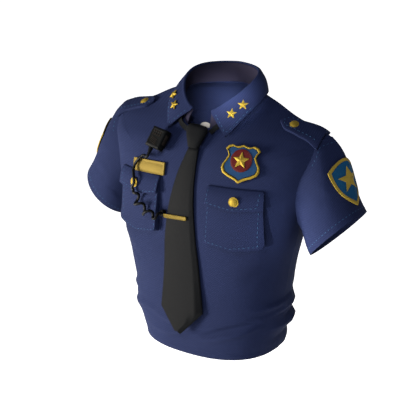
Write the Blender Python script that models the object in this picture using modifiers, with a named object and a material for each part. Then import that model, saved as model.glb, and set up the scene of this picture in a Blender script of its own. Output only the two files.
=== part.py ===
"""Short sleeved police uniform shirt as worn and left hollow, with its tie, badge and shoulder microphone.

Metres, +Z up. The wearer faces -Y and the wearer's left is +X.
The origin is the centre of the neck at the level of the collar's base.
"""
import bisect
import math

import bmesh
import bpy
import numpy as np
from mathutils import Matrix, Vector
from mathutils.bvhtree import BVHTree

CLOTH = 0.0016
SEAM_GAP = 0.0003
HALF_GAP = SEAM_GAP / 2
STEP = 1e-4

# Level sections of the worn shirt: height, half_width, front, back, side, squareness.
TORSO = [
    (-0.510, 0.1450, -0.1160, 0.0900, -0.012, 2.40),
    (-0.478, 0.1480, -0.1170, 0.0910, -0.012, 2.40),
    (-0.460, 0.1540, -0.1190, 0.0915, -0.014, 2.40),
    (-0.430, 0.1610, -0.1205, 0.0915, -0.017, 2.40),
    (-0.400, 0.1650, -0.1215, 0.0910, -0.019, 2.40),
    (-0.355, 0.1685, -0.1225, 0.0900, -0.020, 2.40),
    (-0.300, 0.1767, -0.1237, 0.0910, -0.020, 2.40),
    (-0.240, 0.1925, -0.1240, 0.0920, -0.020, 2.40),
    (-0.215, 0.1970, -0.1233, 0.0935, -0.020, 2.40),
    (-0.160, 0.2100, -0.1195, 0.0975, -0.017, 2.40),
    (-0.118, 0.2206, -0.1115, 0.1010, -0.011, 2.40),
    (-0.080, 0.2370, -0.0970, 0.1020, -0.004, 2.30),
    (-0.062, 0.2440, -0.0860, 0.1015, 0.001, 1.90),
    (-0.0454, 0.2490, -0.0755, 0.1000, 0.006, 1.50),
    (-0.030, 0.2065, -0.0665, 0.0985, 0.010, 1.25),
    (-0.018, 0.1685, -0.0590, 0.0960, 0.012, 1.20),
    (0.000, 0.1342, -0.0450, 0.0895, 0.014, 1.22),
    (0.010, 0.1085, -0.0350, 0.0840, 0.015, 1.35),
    (0.017, 0.0775, -0.0270, 0.0775, 0.015, 1.55),
    (0.022, 0.0600, -0.0200, 0.0710, 0.015, 1.60),
]
HEIGHT, HALF_WIDTH, FRONT, BACK, SIDE, SQUARENESS = range(6)

# Waist folds: height, depth, half_spread, centre_angle, reach, drop (per radian), upper_share of the spread.
FOLDS = [
    (-0.268, 0.0100, 0.026, -60.0, 60.0, 0.0, 1.0),
    (-0.320, 0.0060, 0.034, -60.0, 60.0, 0.0, 1.0),
    (-0.390, 0.0035, 0.022, -60.0, 55.0, 0.0, 1.0),
    (-0.4205, 0.0085, 0.0125, -60.0, 46.0, 0.006, 0.6),
    (-0.364, -0.0035, 0.009, -92.0, 50.0, -0.005, 1.0),
    (-0.384, 0.0030, 0.010, -100.0, 50.0, 0.004, 1.0),
    (-0.446, -0.0030, 0.010, -95.0, 52.0, -0.003, 1.0),
    (-0.362, -0.0035, 0.010, 92.0, 55.0, 0.004, 1.0),
    (-0.374, 0.0030, 0.007, 88.0, 45.0, -0.004, 1.0),
    (-0.3870, 0.0060, 0.0095, 112.0, 52.0, 0.004, 1.0),
    (-0.4005, -0.0060, 0.0080, 112.0, 50.0, -0.004, 1.0),
    (-0.4205, 0.0105, 0.0110, 112.0, 52.0, 0.006, 1.0),
    (-0.4440, -0.0070, 0.0120, 112.0, 52.0, 0.0, 1.0),
    (-0.395, 0.0035, 0.011, 172.0, 55.0, 0.006, 1.0),
    (-0.372, -0.0030, 0.010, 190.0, 60.0, -0.006, 1.0),
    (-0.436, 0.0030, 0.011, 34.0, 30.0, 0.045, 0.7),
]

# Hem and neck
HEM_SIDE = -0.478
HEM_FRONT = -0.4895
HEM_BACK = -0.467
ARMPIT = -0.215
SHOULDER_TIP = -0.0435
NECK_SIDE = 0.017
NECK_BACK = 0.020
NECK_FRONT = -0.044
# Front neckline: distance from the centre line, height
NECKLINE = [
    (0.000, -0.0440), (0.012, -0.0435), (0.024, -0.0415), (0.035, -0.0370), (0.050, -0.0210),
    (0.062, -0.0040), (0.071, 0.0080), (0.0770, 0.0170),
]
# Armhole: angle round it from the armpit, share of the depth ahead of (or behind) the side line
ARMHOLE = [
    (0.0, 0.0), (20.0, 0.075), (45.0, 0.200), (60.0, 0.290), (72.0, 0.345), (90.0, 0.380),
    (105.0, 0.385), (125.0, 0.366), (145.0, 0.320), (165.0, 0.200), (180.0, 0.0),
]
BACK_ARMHOLE_SHARE = 0.88

SIDE_ROWS = 22
FOLD_SHARE = 0.46
FOLD_ROWS = 15
ARM_ROWS = 12
SHOULDER_ROWS = 6
FRONT_COLUMNS = 22
BACK_COLUMNS = 14

# Sleeve
CUFF_CENTRE = Vector((0.268, 0.0010, -0.222))
CUFF_TILT = math.radians(45)
CUFF_TURN = math.radians(2.4)
CUFF_OUT = 0.067
CUFF_FRONT = 0.0672
SLEEVE_ROWS = 8

# Collar
RING_X = 0.071
RING_Y = 0.063
RING_CENTRE_Y = 0.0015
# Fold line: angle from the front, height
CREST = [
    (0.0, -0.018), (19.0, -0.0095), (41.5, 0.008), (60.0, 0.022), (80.0, 0.037), (100.0, 0.049),
    (122.0, 0.057), (180.0, 0.0625),
]
# Lower edge of the fall: angle of the fold line above, x, y, height
FALL_EDGE = [
    (19.0, 0.0660, -0.0790, -0.0508), (30.0, 0.0762, -0.0671, -0.0384), (41.0, 0.0822, -0.0594, -0.0288),
    (50.0, 0.0878, -0.0505, -0.0194), (60.0, 0.0925, -0.0414, -0.0117), (70.0, 0.0960, -0.0310, -0.0042),
    (80.0, 0.0985, -0.0190, 0.0033), (95.0, 0.0985, 0.0040, 0.0125), (110.0, 0.0940, 0.0250, 0.0170),
    (122.0, 0.0850, 0.0430, 0.0178), (136.0, 0.0690, 0.0625, 0.0175), (150.0, 0.0500, 0.0770, 0.0172),
    (165.0, 0.0260, 0.0850, 0.0170), (180.0, 0.0000, 0.0880, 0.0170),
]
# Extra width of the fold and of its roll: angle, out, roll scale
FOLD_WIDTH = [
    (0.0, 0.0, 1.0), (60.0, 0.0010, 1.0), (85.0, 0.0040, 1.35), (115.0, 0.0060, 1.55), (150.0, 0.0042, 1.25),
    (180.0, 0.0020, 1.1),
]
# Roll of the fall: out from the fold ring, height over the fold line
ROLL = [(-0.0022, -0.0032), (-0.0015, -0.0008), (0.0005, 0.0), (0.0026, -0.0010), (0.0040, -0.0040)]
STAND_DROP = 0.0044
STAND_OPEN_COLUMNS = 2
STAND_ROWS = 3
FALL_ROWS = 5

# Pockets, on the wearer's left
POCKET_IN = 0.0575
POCKET_OUT = 0.1610
FLAP_TOP = -0.1378
FLAP_SIDE = -0.1690
FLAP_POINT = -0.1762
BAG_TOP = -0.1415
BAG_SIDE = -0.2440
BAG_POINT = -0.2525
BAG_LIFT_TOP = 0.0025
BAG_LIFT_LOW = 0.0132
FLAP_CLOTH = 0.0024
POCKET_BUTTON = (0.1130, -0.1590)
BUTTON_RADIUS = 0.0100
BUTTON_HEIGHT = 0.0048

# Shoulder strap: x, centre_y, half_width
STRAP = [
    (0.1490, -0.0110, 0.0030), (0.1555, -0.0113, 0.0080), (0.1620, -0.0115, 0.0130),
    (0.1780, -0.0105, 0.0148), (0.1950, -0.0090, 0.0170), (0.2120, -0.0070, 0.0190), (0.2290, -0.0050, 0.0215),
]
STRAP_STATIONS = [0.1490, 0.1555, 0.1620, 0.1740, 0.1860, 0.1980, 0.2090, 0.2190, 0.2270, 0.2315]
STRAP_THICK = 0.0030
STRAP_BUTTON = (0.1745, -0.0122)

# Tie blade: height, centre_x, half_width, face_y, how far its right edge is turned back
BLADE = [
    (-0.0750, 0.0118, 0.0108, -0.1060, 0.0004), (-0.0950, 0.0088, 0.0146, -0.1125, 0.0004),
    (-0.1150, 0.0060, 0.0187, -0.1190, 0.0006), (-0.1400, 0.0030, 0.0218, -0.1245, 0.0008),
    (-0.1700, 0.0000, 0.0260, -0.1285, 0.0012), (-0.2000, -0.0026, 0.0297, -0.1300, 0.0018),
    (-0.2500, -0.0030, 0.0352, -0.1315, 0.0026), (-0.3000, 0.0000, 0.0390, -0.1322, 0.0034),
    (-0.3500, 0.0010, 0.0430, -0.1335, 0.0050), (-0.3930, 0.0020, 0.0467, -0.1365, 0.0072),
]
BLADE_COLUMNS = [-1.0, -0.62, -0.25, 0.10, 0.42, 0.74, 1.0]
BLADE_TIP = (0.000, -0.1440, -0.4440)
BLADE_TIP_BACK = 0.004
BLADE_THICK = 0.0034
BLADE_CROWN = 0.0022
BLADE_ROWS = 14
# Tie knot: height, centre_x, centre_y, half_width, half_depth
KNOT = [
    (-0.0350, 0.0080, -0.0820, 0.0150, 0.0055), (-0.0380, 0.0080, -0.0832, 0.0210, 0.0085),
    (-0.0440, 0.0080, -0.0856, 0.0238, 0.0100), (-0.0550, 0.0090, -0.0930, 0.0192, 0.0095),
    (-0.0655, 0.0105, -0.0990, 0.0146, 0.0078), (-0.0735, 0.0115, -0.1030, 0.0118, 0.0066),
]
LOOP_HALF = 0.0048
LOOP_THICK = 0.0018
# Band of the tie in front of the stand: angle, out from the fold ring, height
LOOP_FRONT = [(26.0, 0.0196, -0.0395), (37.0, 0.0156, -0.0262), (50.0, 0.0110, -0.0090), (62.0, 0.0070, 0.0040)]
LOOP_ON_STAND = 78.0

# Chest fittings
BADGE_AT = (0.1138, -0.0868)
PLATE_AT = (-0.0880, -0.1250)
PLATE_WIDTH = 0.083
PLATE_HEIGHT = 0.0230
PLATE_THICK = 0.0035
MIC_AT = (-0.0700, -0.0760)
MIC_WIDTH = 0.037
MIC_HEIGHT = 0.040
MIC_THICK = 0.016
MIC_LIFT = 0.0062
CLIP_WIDTH = 0.018
CLIP_HEIGHT = 0.030
RELIEF_RADIUS = 0.0044
RELIEF_LENGTH = 0.0110
CORD_RADIUS = 0.0023
COIL_RADIUS = 0.0085
# Microphone cord over the chest: distance from the centre line, height, stand off
CORD_ROUTE = [
    (-0.1017, -0.1074, 0.0085), (-0.1104, -0.1154, 0.0095), (-0.1179, -0.1262, 0.0105), (-0.1188, -0.1356, 0.0125),
    (-0.1133, -0.1432, 0.0165), (-0.1060, -0.1501, 0.0212), (-0.1048, -0.1585, 0.0220), (-0.1080, -0.1652, 0.0224),
    (-0.1071, -0.1694, 0.0225), (-0.10490, -0.17185, 0.0225),
]
COIL_ROUTE = [
    (-0.1045, -0.1723, 0.0225), (-0.0942, -0.1838, 0.0228), (-0.0837, -0.1963, 0.0232), (-0.0710, -0.2004, 0.0232),
    (-0.0610, -0.2027, 0.0225), (-0.0540, -0.2042, 0.0205),
]
TAIL_ROUTE = [
    (-0.0534, -0.2043, 0.0202), (-0.0495, -0.2052, 0.0185), (-0.0462, -0.2060, 0.0150), (-0.0446, -0.2065, 0.0100),
]
KEEPER_AT = (-0.0442, -0.2065)
KEEPER_SIZE = (0.0090, 0.0115, 0.0085)
TOP_BUTTON = (0.0172, -0.0692, -0.0342)
TOP_BUTTON_RADIUS = 0.0072
# Collar stars, on the wearer's left
COLLAR_STARS = [(0.0668, -0.0586, -0.0102), (0.0818, -0.0427, 0.0064)]

# Right half of the badge's outline, from its top point to its lower tip
BADGE_HALF = [
    (0.000, 0.0300), (0.007, 0.0272), (0.014, 0.0262), (0.022, 0.0292), (0.030, 0.0262), (0.0345, 0.0205),
    (0.030, 0.0150), (0.0275, 0.0080), (0.0320, -0.0010), (0.0375, -0.0100), (0.0385, -0.0170),
    (0.0345, -0.0255), (0.024, -0.0315), (0.010, -0.0365), (0.000, -0.0425),
]
# Right half of the sleeve patch's outline
PATCH_HALF = [
    (0.000, 0.0400), (0.012, 0.0375), (0.024, 0.0320), (0.0345, 0.0240), (0.0345, 0.0120), (0.0325, -0.0020),
    (0.0290, -0.0150), (0.0230, -0.0270), (0.0130, -0.0390), (0.000, -0.0500),
]
PATCH_AT = (0.2852, -0.0025, -0.1160)
PATCH_STAR = 0.0240
PATCH_CLEAR = 0.0020

PREPARED = {}


def start_scene():
    """Empty the scene and make the uniform's collection and the one for guides."""
    for item in list(bpy.data.objects):
        bpy.data.objects.remove(item, do_unlink=True)
    made = []
    for name in ("police_uniform", "guides"):
        group = bpy.data.collections.new(name)
        bpy.context.scene.collection.children.link(group)
        made.append(group)
    return made


UNIFORM, GUIDES = start_scene()


def material(name, colour, roughness, metallic=0.0):
    """A plain surface of one colour."""
    made = bpy.data.materials.new(name)
    made.use_nodes = True
    shader = made.node_tree.nodes["Principled BSDF"]
    shader.inputs["Base Color"].default_value = (*colour, 1.0)
    shader.inputs["Roughness"].default_value = roughness
    shader.inputs["Metallic"].default_value = metallic
    return made


def navy(name):
    """The shirt's cloth."""
    return material(name, (0.035, 0.045, 0.105), 0.85)


def charcoal(name):
    """The tie's cloth."""
    return material(name, (0.022, 0.024, 0.026), 0.8)


def gold(name):
    """Polished gilt metal."""
    return material(name, (0.72, 0.50, 0.12), 0.35, 0.9)


def black(name):
    """Moulded black plastic."""
    return material(name, (0.012, 0.014, 0.016), 0.5)


def add_mesh(name, vertices, faces, finish):
    """Make one named object, with outward faces, in the uniform's collection."""
    data = bpy.data.meshes.new(name)
    data.from_pydata([tuple(map(float, point)) for point in vertices], [], faces)
    shape = bmesh.new()
    shape.from_mesh(data)
    bmesh.ops.recalc_face_normals(shape, faces=shape.faces)
    bmesh.ops.triangulate(shape, faces=shape.faces, quad_method="SHORT_EDGE")
    shape.to_mesh(data)
    shape.free()
    data.shade_smooth()
    data.set_sharp_from_angle(angle=math.radians(40))
    data.materials.append(finish)
    made = bpy.data.objects.new(name, data)
    UNIFORM.objects.link(made)
    return made


def smooth_slopes(stations, values):
    """Slopes of a monotone cubic through the stations, without overshoot."""
    step = [b - a for a, b in zip(stations, stations[1:])]
    rise = [(b - a) / c for a, b, c in zip(values, values[1:], step)]
    slope = [rise[0]] + [0.0] * (len(stations) - 2) + [rise[-1]]
    for i in range(1, len(stations) - 1):
        if rise[i - 1] * rise[i] > 0:
            before = 2 * step[i] + step[i - 1]
            after = step[i] + 2 * step[i - 1]
            slope[i] = (before + after) / (before / rise[i - 1] + after / rise[i])
    return slope


def smooth_between(stations, values, slopes, at):
    """Value of the monotone cubic at one station."""
    at = min(max(at, stations[0]), stations[-1])
    i = min(max(bisect.bisect_left(stations, at) - 1, 0), len(stations) - 2)
    step = stations[i + 1] - stations[i]
    t = (at - stations[i]) / step
    lead = (1 + 2 * t) * (1 - t) ** 2 * values[i] + t * t * (3 - 2 * t) * values[i + 1]
    return lead + step * (t * (1 - t) ** 2 * slopes[i] + t * t * (t - 1) * slopes[i + 1])


def from_table(table, column, at, key=0):
    """A table's column at any station of its key column."""
    known = PREPARED.get((id(table), column, key))
    if known is None:
        rows = sorted(table, key=lambda row: row[key])
        stations = [row[key] for row in rows]
        values = [row[column] for row in rows]
        known = (stations, values, smooth_slopes(stations, values))
        PREPARED[(id(table), column, key)] = known
    return smooth_between(*known, at)


def fold_offset(angle, height):
    """How far the waist folds push the cloth out there."""
    total = 0.0
    for level, depth, spread, centre, reach, drop, upper in FOLDS:
        turn = (math.degrees(angle) - centre + 180) % 360 - 180
        if abs(turn) < reach:
            fade = math.cos(math.radians(turn / reach * 90)) ** 2
            along = (height - level - drop * math.radians(turn)) / spread
            if along > 0:
                along /= upper
            total += depth * fade * math.exp(-abs(along) ** 1.5)
    return total


def torso(angle, height):
    """Point of the shirt's outer face at an angle from the front (radians, + to the wearer's left)."""
    half = from_table(TORSO, HALF_WIDTH, height)
    side = from_table(TORSO, SIDE, height)
    power = 2 / from_table(TORSO, SQUARENESS, height)
    ahead = math.cos(angle)
    reach = from_table(TORSO, FRONT if ahead > 0 else BACK, height) - side
    across = math.sin(angle)
    x = half * math.copysign(abs(across) ** power, across)
    y = side + reach * abs(ahead) ** power
    push = fold_offset(angle, height)
    return Vector((x + push * across, y - push * ahead, height))


def torso_normal(angle, height):
    """Outward direction of the shirt's outer face there."""
    around = torso(angle + 20 * STEP, height) - torso(angle - 20 * STEP, height)
    up = torso(angle, height + 5 * STEP) - torso(angle, height - 5 * STEP)
    return around.cross(up).normalized()


def angle_for_share(share, height, back):
    """Angle at which the section's depth has that share of its front or back."""
    quarter = math.acos(share ** (from_table(TORSO, SQUARENESS, height) / 2))
    return math.pi - quarter if back else quarter


def angle_for_x(x, height):
    """Front angle at which the section reaches that distance from the centre line."""
    ratio = min(1.0, x / from_table(TORSO, HALF_WIDTH, height))
    return math.asin(ratio ** (from_table(TORSO, SQUARENESS, height) / 2))


def shoulder_height(x):
    """Height of the shoulder ridge at a distance from the centre line."""
    low = SHOULDER_TIP
    high = TORSO[-1][HEIGHT]
    for _ in range(40):
        height = (low + high) / 2
        if from_table(TORSO, HALF_WIDTH, height) > x:
            low = height
        else:
            high = height
    return height


def boundary(back):
    """Side seam, armhole and shoulder seam on the wearer's left: angle, height and centre share."""
    walk = []
    fold_top = HEM_SIDE + FOLD_SHARE * (ARMPIT - HEM_SIDE)
    for i in range(FOLD_ROWS):
        walk.append((math.pi / 2, HEM_SIDE + (fold_top - HEM_SIDE) * i / FOLD_ROWS))
    for i in range(SIDE_ROWS - FOLD_ROWS):
        walk.append((math.pi / 2, fold_top + (ARMPIT - fold_top) * i / (SIDE_ROWS - FOLD_ROWS)))
    middle = (ARMPIT + SHOULDER_TIP) / 2
    half = (SHOULDER_TIP - ARMPIT) / 2
    for i in range(ARM_ROWS):
        turn = 180 * i / ARM_ROWS
        height = middle - half * math.cos(math.radians(turn))
        share = from_table(ARMHOLE, 1, turn) * (BACK_ARMHOLE_SHARE if back else 1.0)
        walk.append((angle_for_share(share, height, back), height))
    tip_x = from_table(TORSO, HALF_WIDTH, SHOULDER_TIP)
    neck_x = from_table(TORSO, HALF_WIDTH, NECK_SIDE)
    for i in range(SHOULDER_ROWS + 1):
        x = tip_x + (neck_x - tip_x) * i / SHOULDER_ROWS
        height = shoulder_height(x)
        if i == 0:
            height = SHOULDER_TIP
        if i == SHOULDER_ROWS:
            height = NECK_SIDE
        walk.append((math.pi / 2, height))
    return walk


def centre_heights(back):
    """Heights of the rows where they cross the centre line."""
    hem = HEM_BACK if back else HEM_FRONT
    at_armpit = -0.205
    at_tip = -0.060 if back else -0.100
    neck = NECK_BACK if back else NECK_FRONT
    heights = []
    walk = boundary(back)
    for i in range(SIDE_ROWS):
        heights.append(hem + (at_armpit - hem) * (walk[i][1] - HEM_SIDE) / (ARMPIT - HEM_SIDE))
    for i in range(ARM_ROWS):
        heights.append(at_armpit + (at_tip - at_armpit) * i / ARM_ROWS)
    for i in range(SHOULDER_ROWS + 1):
        heights.append(at_tip + (neck - at_tip) * i / SHOULDER_ROWS)
    return heights


def neckline(share, back):
    """Angle and height on the neckline, by share of the way from the centre to the shoulder seam."""
    if back:
        return math.pi - share * math.pi / 2, NECK_BACK + (NECK_SIDE - NECK_BACK) * share ** 2
    if "neckline" in PREPARED:
        return along_neckline(share)
    places = []
    walked = [0.0]
    fine = 60
    widest = NECKLINE[-1][0]
    for i in range(fine + 1):
        x = widest * math.sin(i / fine * math.pi / 2)
        height = from_table(NECKLINE, 1, x)
        angle = math.pi / 2 if i == fine else angle_for_x(x, height)
        places.append((angle, height))
        if i:
            walked.append(walked[-1] + (torso(*places[-1]) - torso(*places[-2])).length)
    PREPARED["neckline"] = (walked, [place[0] for place in places], [place[1] for place in places])
    return along_neckline(share)


def along_neckline(share):
    """Angle and height at a share of the front neckline's length."""
    walked, angles, heights = PREPARED["neckline"]
    goal = share * walked[-1]
    return float(np.interp(goal, walked, angles)), float(np.interp(goal, walked, heights))


def panel_places(back):
    """Angle and height of every grid point of the front or back panel, hem to neck, right to left."""
    columns = BACK_COLUMNS if back else FRONT_COLUMNS
    walk = boundary(back)
    centre = centre_heights(back)
    last = len(walk) - 1
    blend_from = SIDE_ROWS + ARM_ROWS // 2
    grid = []
    for row, (edge_angle, edge_height) in enumerate(walk):
        weight = max(0.0, (row - blend_from) / (last - blend_from)) ** 1.6
        line = []
        for column in range(columns + 1):
            across = 2 * column / columns - 1
            share = abs(across)
            from_centre = share * (math.pi - edge_angle if back else edge_angle)
            angle = math.pi - from_centre if back else from_centre
            height = centre[row] + (edge_height - centre[row]) * share ** 2
            if weight:
                neck_angle, neck_height = neckline(share, back)
                plain = math.pi - share * math.pi / 2 if back else share * math.pi / 2
                angle += weight * (neck_angle - plain)
                height += weight * (neck_height - centre[last] - (walk[last][1] - centre[last]) * share ** 2)
            line.append((math.copysign(angle, across) if across else (math.pi if back else 0.0), height))
        grid.append(line)
    return grid


def panel_grid(back):
    """Outer points, outward directions, and the way into the panel along its seams."""
    places = panel_places(back)
    points = [[torso(*place) for place in line] for line in places]
    outward = [[torso_normal(*place) for place in line] for line in places]
    rows = len(points)
    last = len(points[0]) - 1
    for line in range(rows):
        for column in (0, last):
            if line < SIDE_ROWS or line > SIDE_ROWS + ARM_ROWS:
                points[line][column].y = torso(math.pi / 2, points[line][column].z).y
    inward = [[Vector((0, 0, 0)) for _ in line] for line in points]
    for column, inner in ((0, 1), (last, last - 1)):
        for row in range(rows):
            low = points[max(row - 1, 0)][column]
            high = points[min(row + 1, rows - 1)][column]
            if row == SIDE_ROWS:
                high = points[row][column]
            if row == SIDE_ROWS + ARM_ROWS:
                low = points[row][column]
            way = outward[row][column].cross(high - low).normalized()
            if way.dot(points[row][inner] - points[row][column]) < 0:
                way = -way
            inward[row][column] += way
        armpit = outward[SIDE_ROWS][column].cross(points[SIDE_ROWS + 1][column] - points[SIDE_ROWS][column])
        armpit.normalize()
        if armpit.z > 0:
            armpit = -armpit
        inward[SIDE_ROWS][column] += armpit
        tip_row = SIDE_ROWS + ARM_ROWS
        tip = outward[tip_row][column].cross(points[tip_row][column] - points[tip_row - 1][column]).normalized()
        if tip.x * points[tip_row][column].x > 0:
            tip = -tip
        inward[tip_row][column] += tip
    for column in range(last + 1):
        left = points[rows - 1][max(column - 1, 0)]
        right = points[rows - 1][min(column + 1, last)]
        way = outward[rows - 1][column].cross(right - left).normalized()
        if way.dot(points[rows - 2][column] - points[rows - 1][column]) < 0:
            way = -way
        inward[rows - 1][column] += way
    return points, outward, inward


def wall(name, outer, inner, finish, ring=False):
    """Closed wall between an outer and an inner grid of points."""
    rows = len(outer)
    columns = len(outer[0])
    vertices = [point for line in outer for point in line] + [point for line in inner for point in line]
    shift = rows * columns
    spans = columns if ring else columns - 1

    def at(row, column):
        return row * columns + column % columns

    faces = []
    for row in range(rows - 1):
        for column in range(spans):
            square = (at(row, column), at(row, column + 1), at(row + 1, column + 1), at(row + 1, column))
            faces.append(square)
            faces.append(tuple(shift + corner for corner in reversed(square)))
    for column in range(spans):
        for row in (0, rows - 1):
            faces.append((at(row, column), at(row, column + 1), shift + at(row, column + 1), shift + at(row, column)))
    if not ring:
        for row in range(rows - 1):
            for column in (0, columns - 1):
                faces.append((at(row, column), at(row + 1, column), shift + at(row + 1, column), shift + at(row, column)))
    return add_mesh(name, vertices, faces, finish)


def make_panel(name, back):
    """Front or back of the shirt, cut back by half a seam gap where it meets its neighbours."""
    points, outward, inward = panel_grid(back)
    outer = [[p + HALF_GAP * w for p, w in zip(*lines)] for lines in zip(points, inward)]
    inner = [[p - CLOTH * n for p, n in zip(*lines)] for lines in zip(outer, outward)]
    wall(name, outer, inner, navy(name))
    return points, outward, inward


def grid_normals(points, ring=False):
    """Outward directions of a grid, from its neighbours."""
    rows = len(points)
    columns = len(points[0])
    found = []
    for row in range(rows):
        line = []
        for column in range(columns):
            low = points[max(row - 1, 0)][column]
            high = points[min(row + 1, rows - 1)][column]
            if ring:
                left = points[row][(column - 1) % columns]
                right = points[row][(column + 1) % columns]
            else:
                left = points[row][max(column - 1, 0)]
                right = points[row][min(column + 1, columns - 1)]
            line.append((right - left).cross(high - low).normalized())
        found.append(line)
    return found


def armhole_loop(front, back):
    """Points, outward and inward directions round the left armhole, from the armpit over the front."""
    loop = []
    for row in range(SIDE_ROWS, SIDE_ROWS + ARM_ROWS):
        loop.append(tuple(grid[row][-1] for grid in front))
    for row in range(SIDE_ROWS + ARM_ROWS, SIDE_ROWS, -1):
        loop.append(tuple(grid[row][-1] for grid in back))
    return loop


def seam_way(loop, index):
    """The way into the panel at one point of the armhole, square to the seam."""
    count = len(loop)
    along = loop[(index + 1) % count][0] - loop[index - 1][0]
    way = loop[index][1].cross(along).normalized()
    if index == 0:
        return Vector((0, 0, -1))
    return way if way.dot(loop[index][2]) > 0 else -way


def sleeve_grid(loop):
    """Outer points of the left sleeve, from the armhole to the cuff."""
    axis = Vector((math.sin(CUFF_TILT) * math.cos(CUFF_TURN), math.sin(CUFF_TURN),
                   -math.cos(CUFF_TILT) * math.cos(CUFF_TURN)))
    out = Vector((math.cos(CUFF_TILT), 0, math.sin(CUFF_TILT)))
    ahead = out.cross(axis).normalized()
    if ahead.y > 0:
        ahead = -ahead
    count = len(loop)
    grid = [[None] * count for _ in range(SLEEVE_ROWS + 1)]
    for index, (start, normal, _) in enumerate(loop):
        turn = 2 * math.pi * index / count
        end = CUFF_CENTRE - CUFF_OUT * math.cos(turn) * out + CUFF_FRONT * math.sin(turn) * ahead
        chord = end - start
        flat = Vector((normal.x, normal.y, 0)).normalized()
        high = max(0.0, -math.cos(turn))
        leave = ((0.75 - 0.12 * high) * chord.normalized() + (0.30 + 0.24 * high) * flat).normalized() * chord.length
        arrive = (0.6 * axis + 0.4 * chord.normalized()).normalized() * chord.length
        for row in range(SLEEVE_ROWS + 1):
            t = row / SLEEVE_ROWS
            place = ((1 + 2 * t) * (1 - t) ** 2 * start + t * (1 - t) ** 2 * leave
                     + t * t * (3 - 2 * t) * end + t * t * (t - 1) * arrive)
            grid[row][index] = place
    return grid


def make_sleeve(name, loop, mirror):
    """One sleeve, set into its armhole with the seam gap all round."""
    points = sleeve_grid(loop)
    outward = [[-n for n in line] for line in grid_normals(points, ring=True)]
    middle = CUFF_CENTRE
    if outward[-1][0].dot(points[-1][0] - middle) < 0:
        outward = [[-n for n in line] for line in outward]
    inner = [[p - CLOTH * n for p, n in zip(*lines)] for lines in zip(points, outward)]
    for index, (start, normal, _) in enumerate(loop):
        way = seam_way(loop, index)
        fold = max(0.0, outward[0][index].dot(way))
        points[0][index] = start - HALF_GAP * way + 0.25e-3 * fold * normal
        facing = (normal + 2.2 * fold * fold * way).normalized()
        inner[0][index] = points[0][index] - CLOTH * facing
    if mirror:
        points = [[Vector((-p.x, p.y, p.z)) for p in line] for line in points]
        inner = [[Vector((-p.x, p.y, p.z)) for p in line] for line in inner]
    wall(name, points, inner, navy(name), ring=True)
    return points, outward


def collar_columns(front, back):
    """Neckline points round the neck, from the wearer's right stand end over the back to the left one."""
    top = [grid[-1] for grid in front]
    rear = [grid[-1] for grid in back]
    middle = FRONT_COLUMNS // 2
    walk = []
    for column in range(middle - STAND_OPEN_COLUMNS, -1, -1):
        walk.append(tuple(line[column] for line in top))
    for column in range(1, BACK_COLUMNS):
        walk.append(tuple(line[column] for line in rear))
    for column in range(FRONT_COLUMNS, middle + STAND_OPEN_COLUMNS - 1, -1):
        walk.append(tuple(line[column] for line in top))
    return walk


def ring_angle(point):
    """Angle of a neckline point round the neck, from the front."""
    return math.atan2(point.x * RING_Y / RING_X, RING_CENTRE_Y - point.y)


def ring_point(angle, out, above):
    """Point by the collar's fold line: out from the fold ring and above the fold line."""
    turned = abs(math.degrees(angle))
    height = from_table(CREST, 1, turned)
    if out > 0.001:
        out *= from_table(FOLD_WIDTH, 2, turned)
    out += from_table(FOLD_WIDTH, 1, turned)
    return Vector(((RING_X + out) * math.sin(angle), RING_CENTRE_Y - (RING_Y + out) * math.cos(angle),
                   height + above))


def make_collar(front, back):
    """Stand and fall of the collar."""
    walk = collar_columns(front, back)
    angles = [ring_angle(place[0]) for place in walk]
    outer = []
    inner = []
    for row in range(STAND_ROWS + 1):
        share = row / STAND_ROWS
        line = []
        behind = []
        for (start, normal, way), angle in zip(walk, angles):
            way = way.normalized()
            base = start - HALF_GAP * way + 0.25e-3 * normal
            flat = Vector((math.sin(angle), -math.cos(angle), 0))
            facing = (normal + 2.0 * way).normalized()
            base_in = base - CLOTH * facing
            top = ring_point(angle, ROLL[0][0] + CLOTH, -STAND_DROP)
            top_in = ring_point(angle, ROLL[0][0], -STAND_DROP)
            line.append(base.lerp(top, share) + 0.0012 * math.sin(math.pi * share) * flat)
            behind.append(base_in.lerp(top_in, share) + 0.0012 * math.sin(math.pi * share) * flat)
        outer.append(line)
        inner.append(behind)
    wall("collar_stand", outer, inner, navy("collar_stand"))
    stand = outer

    fall = []
    for out, above in ROLL:
        fall.append([ring_point(angle, out, above) for angle in angles])
    start = fall[-1]
    for row in range(1, FALL_ROWS + 1):
        share = row / FALL_ROWS
        line = []
        for first, angle in zip(start, angles):
            turned = abs(math.degrees(angle))
            turned = max(turned, 19.0)
            edge = Vector((math.copysign(from_table(FALL_EDGE, 1, turned), angle), from_table(FALL_EDGE, 2, turned),
                           from_table(FALL_EDGE, 3, turned)))
            flat = Vector((math.sin(angle), -math.cos(angle), 0.6)).normalized()
            line.append(first.lerp(edge, share) + 0.0030 * math.sin(math.pi * share) * flat)
        fall.append(line)
    outward = grid_normals(fall)
    if outward[-1][len(walk) // 2].y < 0:
        outward = [[-n for n in line] for line in outward]
    lining = [[p - CLOTH * n for p, n in zip(*lines)] for lines in zip(fall, outward)]
    wall("collar_fall", fall, lining, navy("collar_fall"))
    return stand, angles


def chest(x, height, lift=0.0):
    """Point of the shirt's front by its distance from the centre line and height, and its outward way."""
    angle = math.copysign(angle_for_x(abs(x), height), x)
    normal = torso_normal(angle, height)
    return torso(angle, height) + lift * normal, normal


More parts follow.
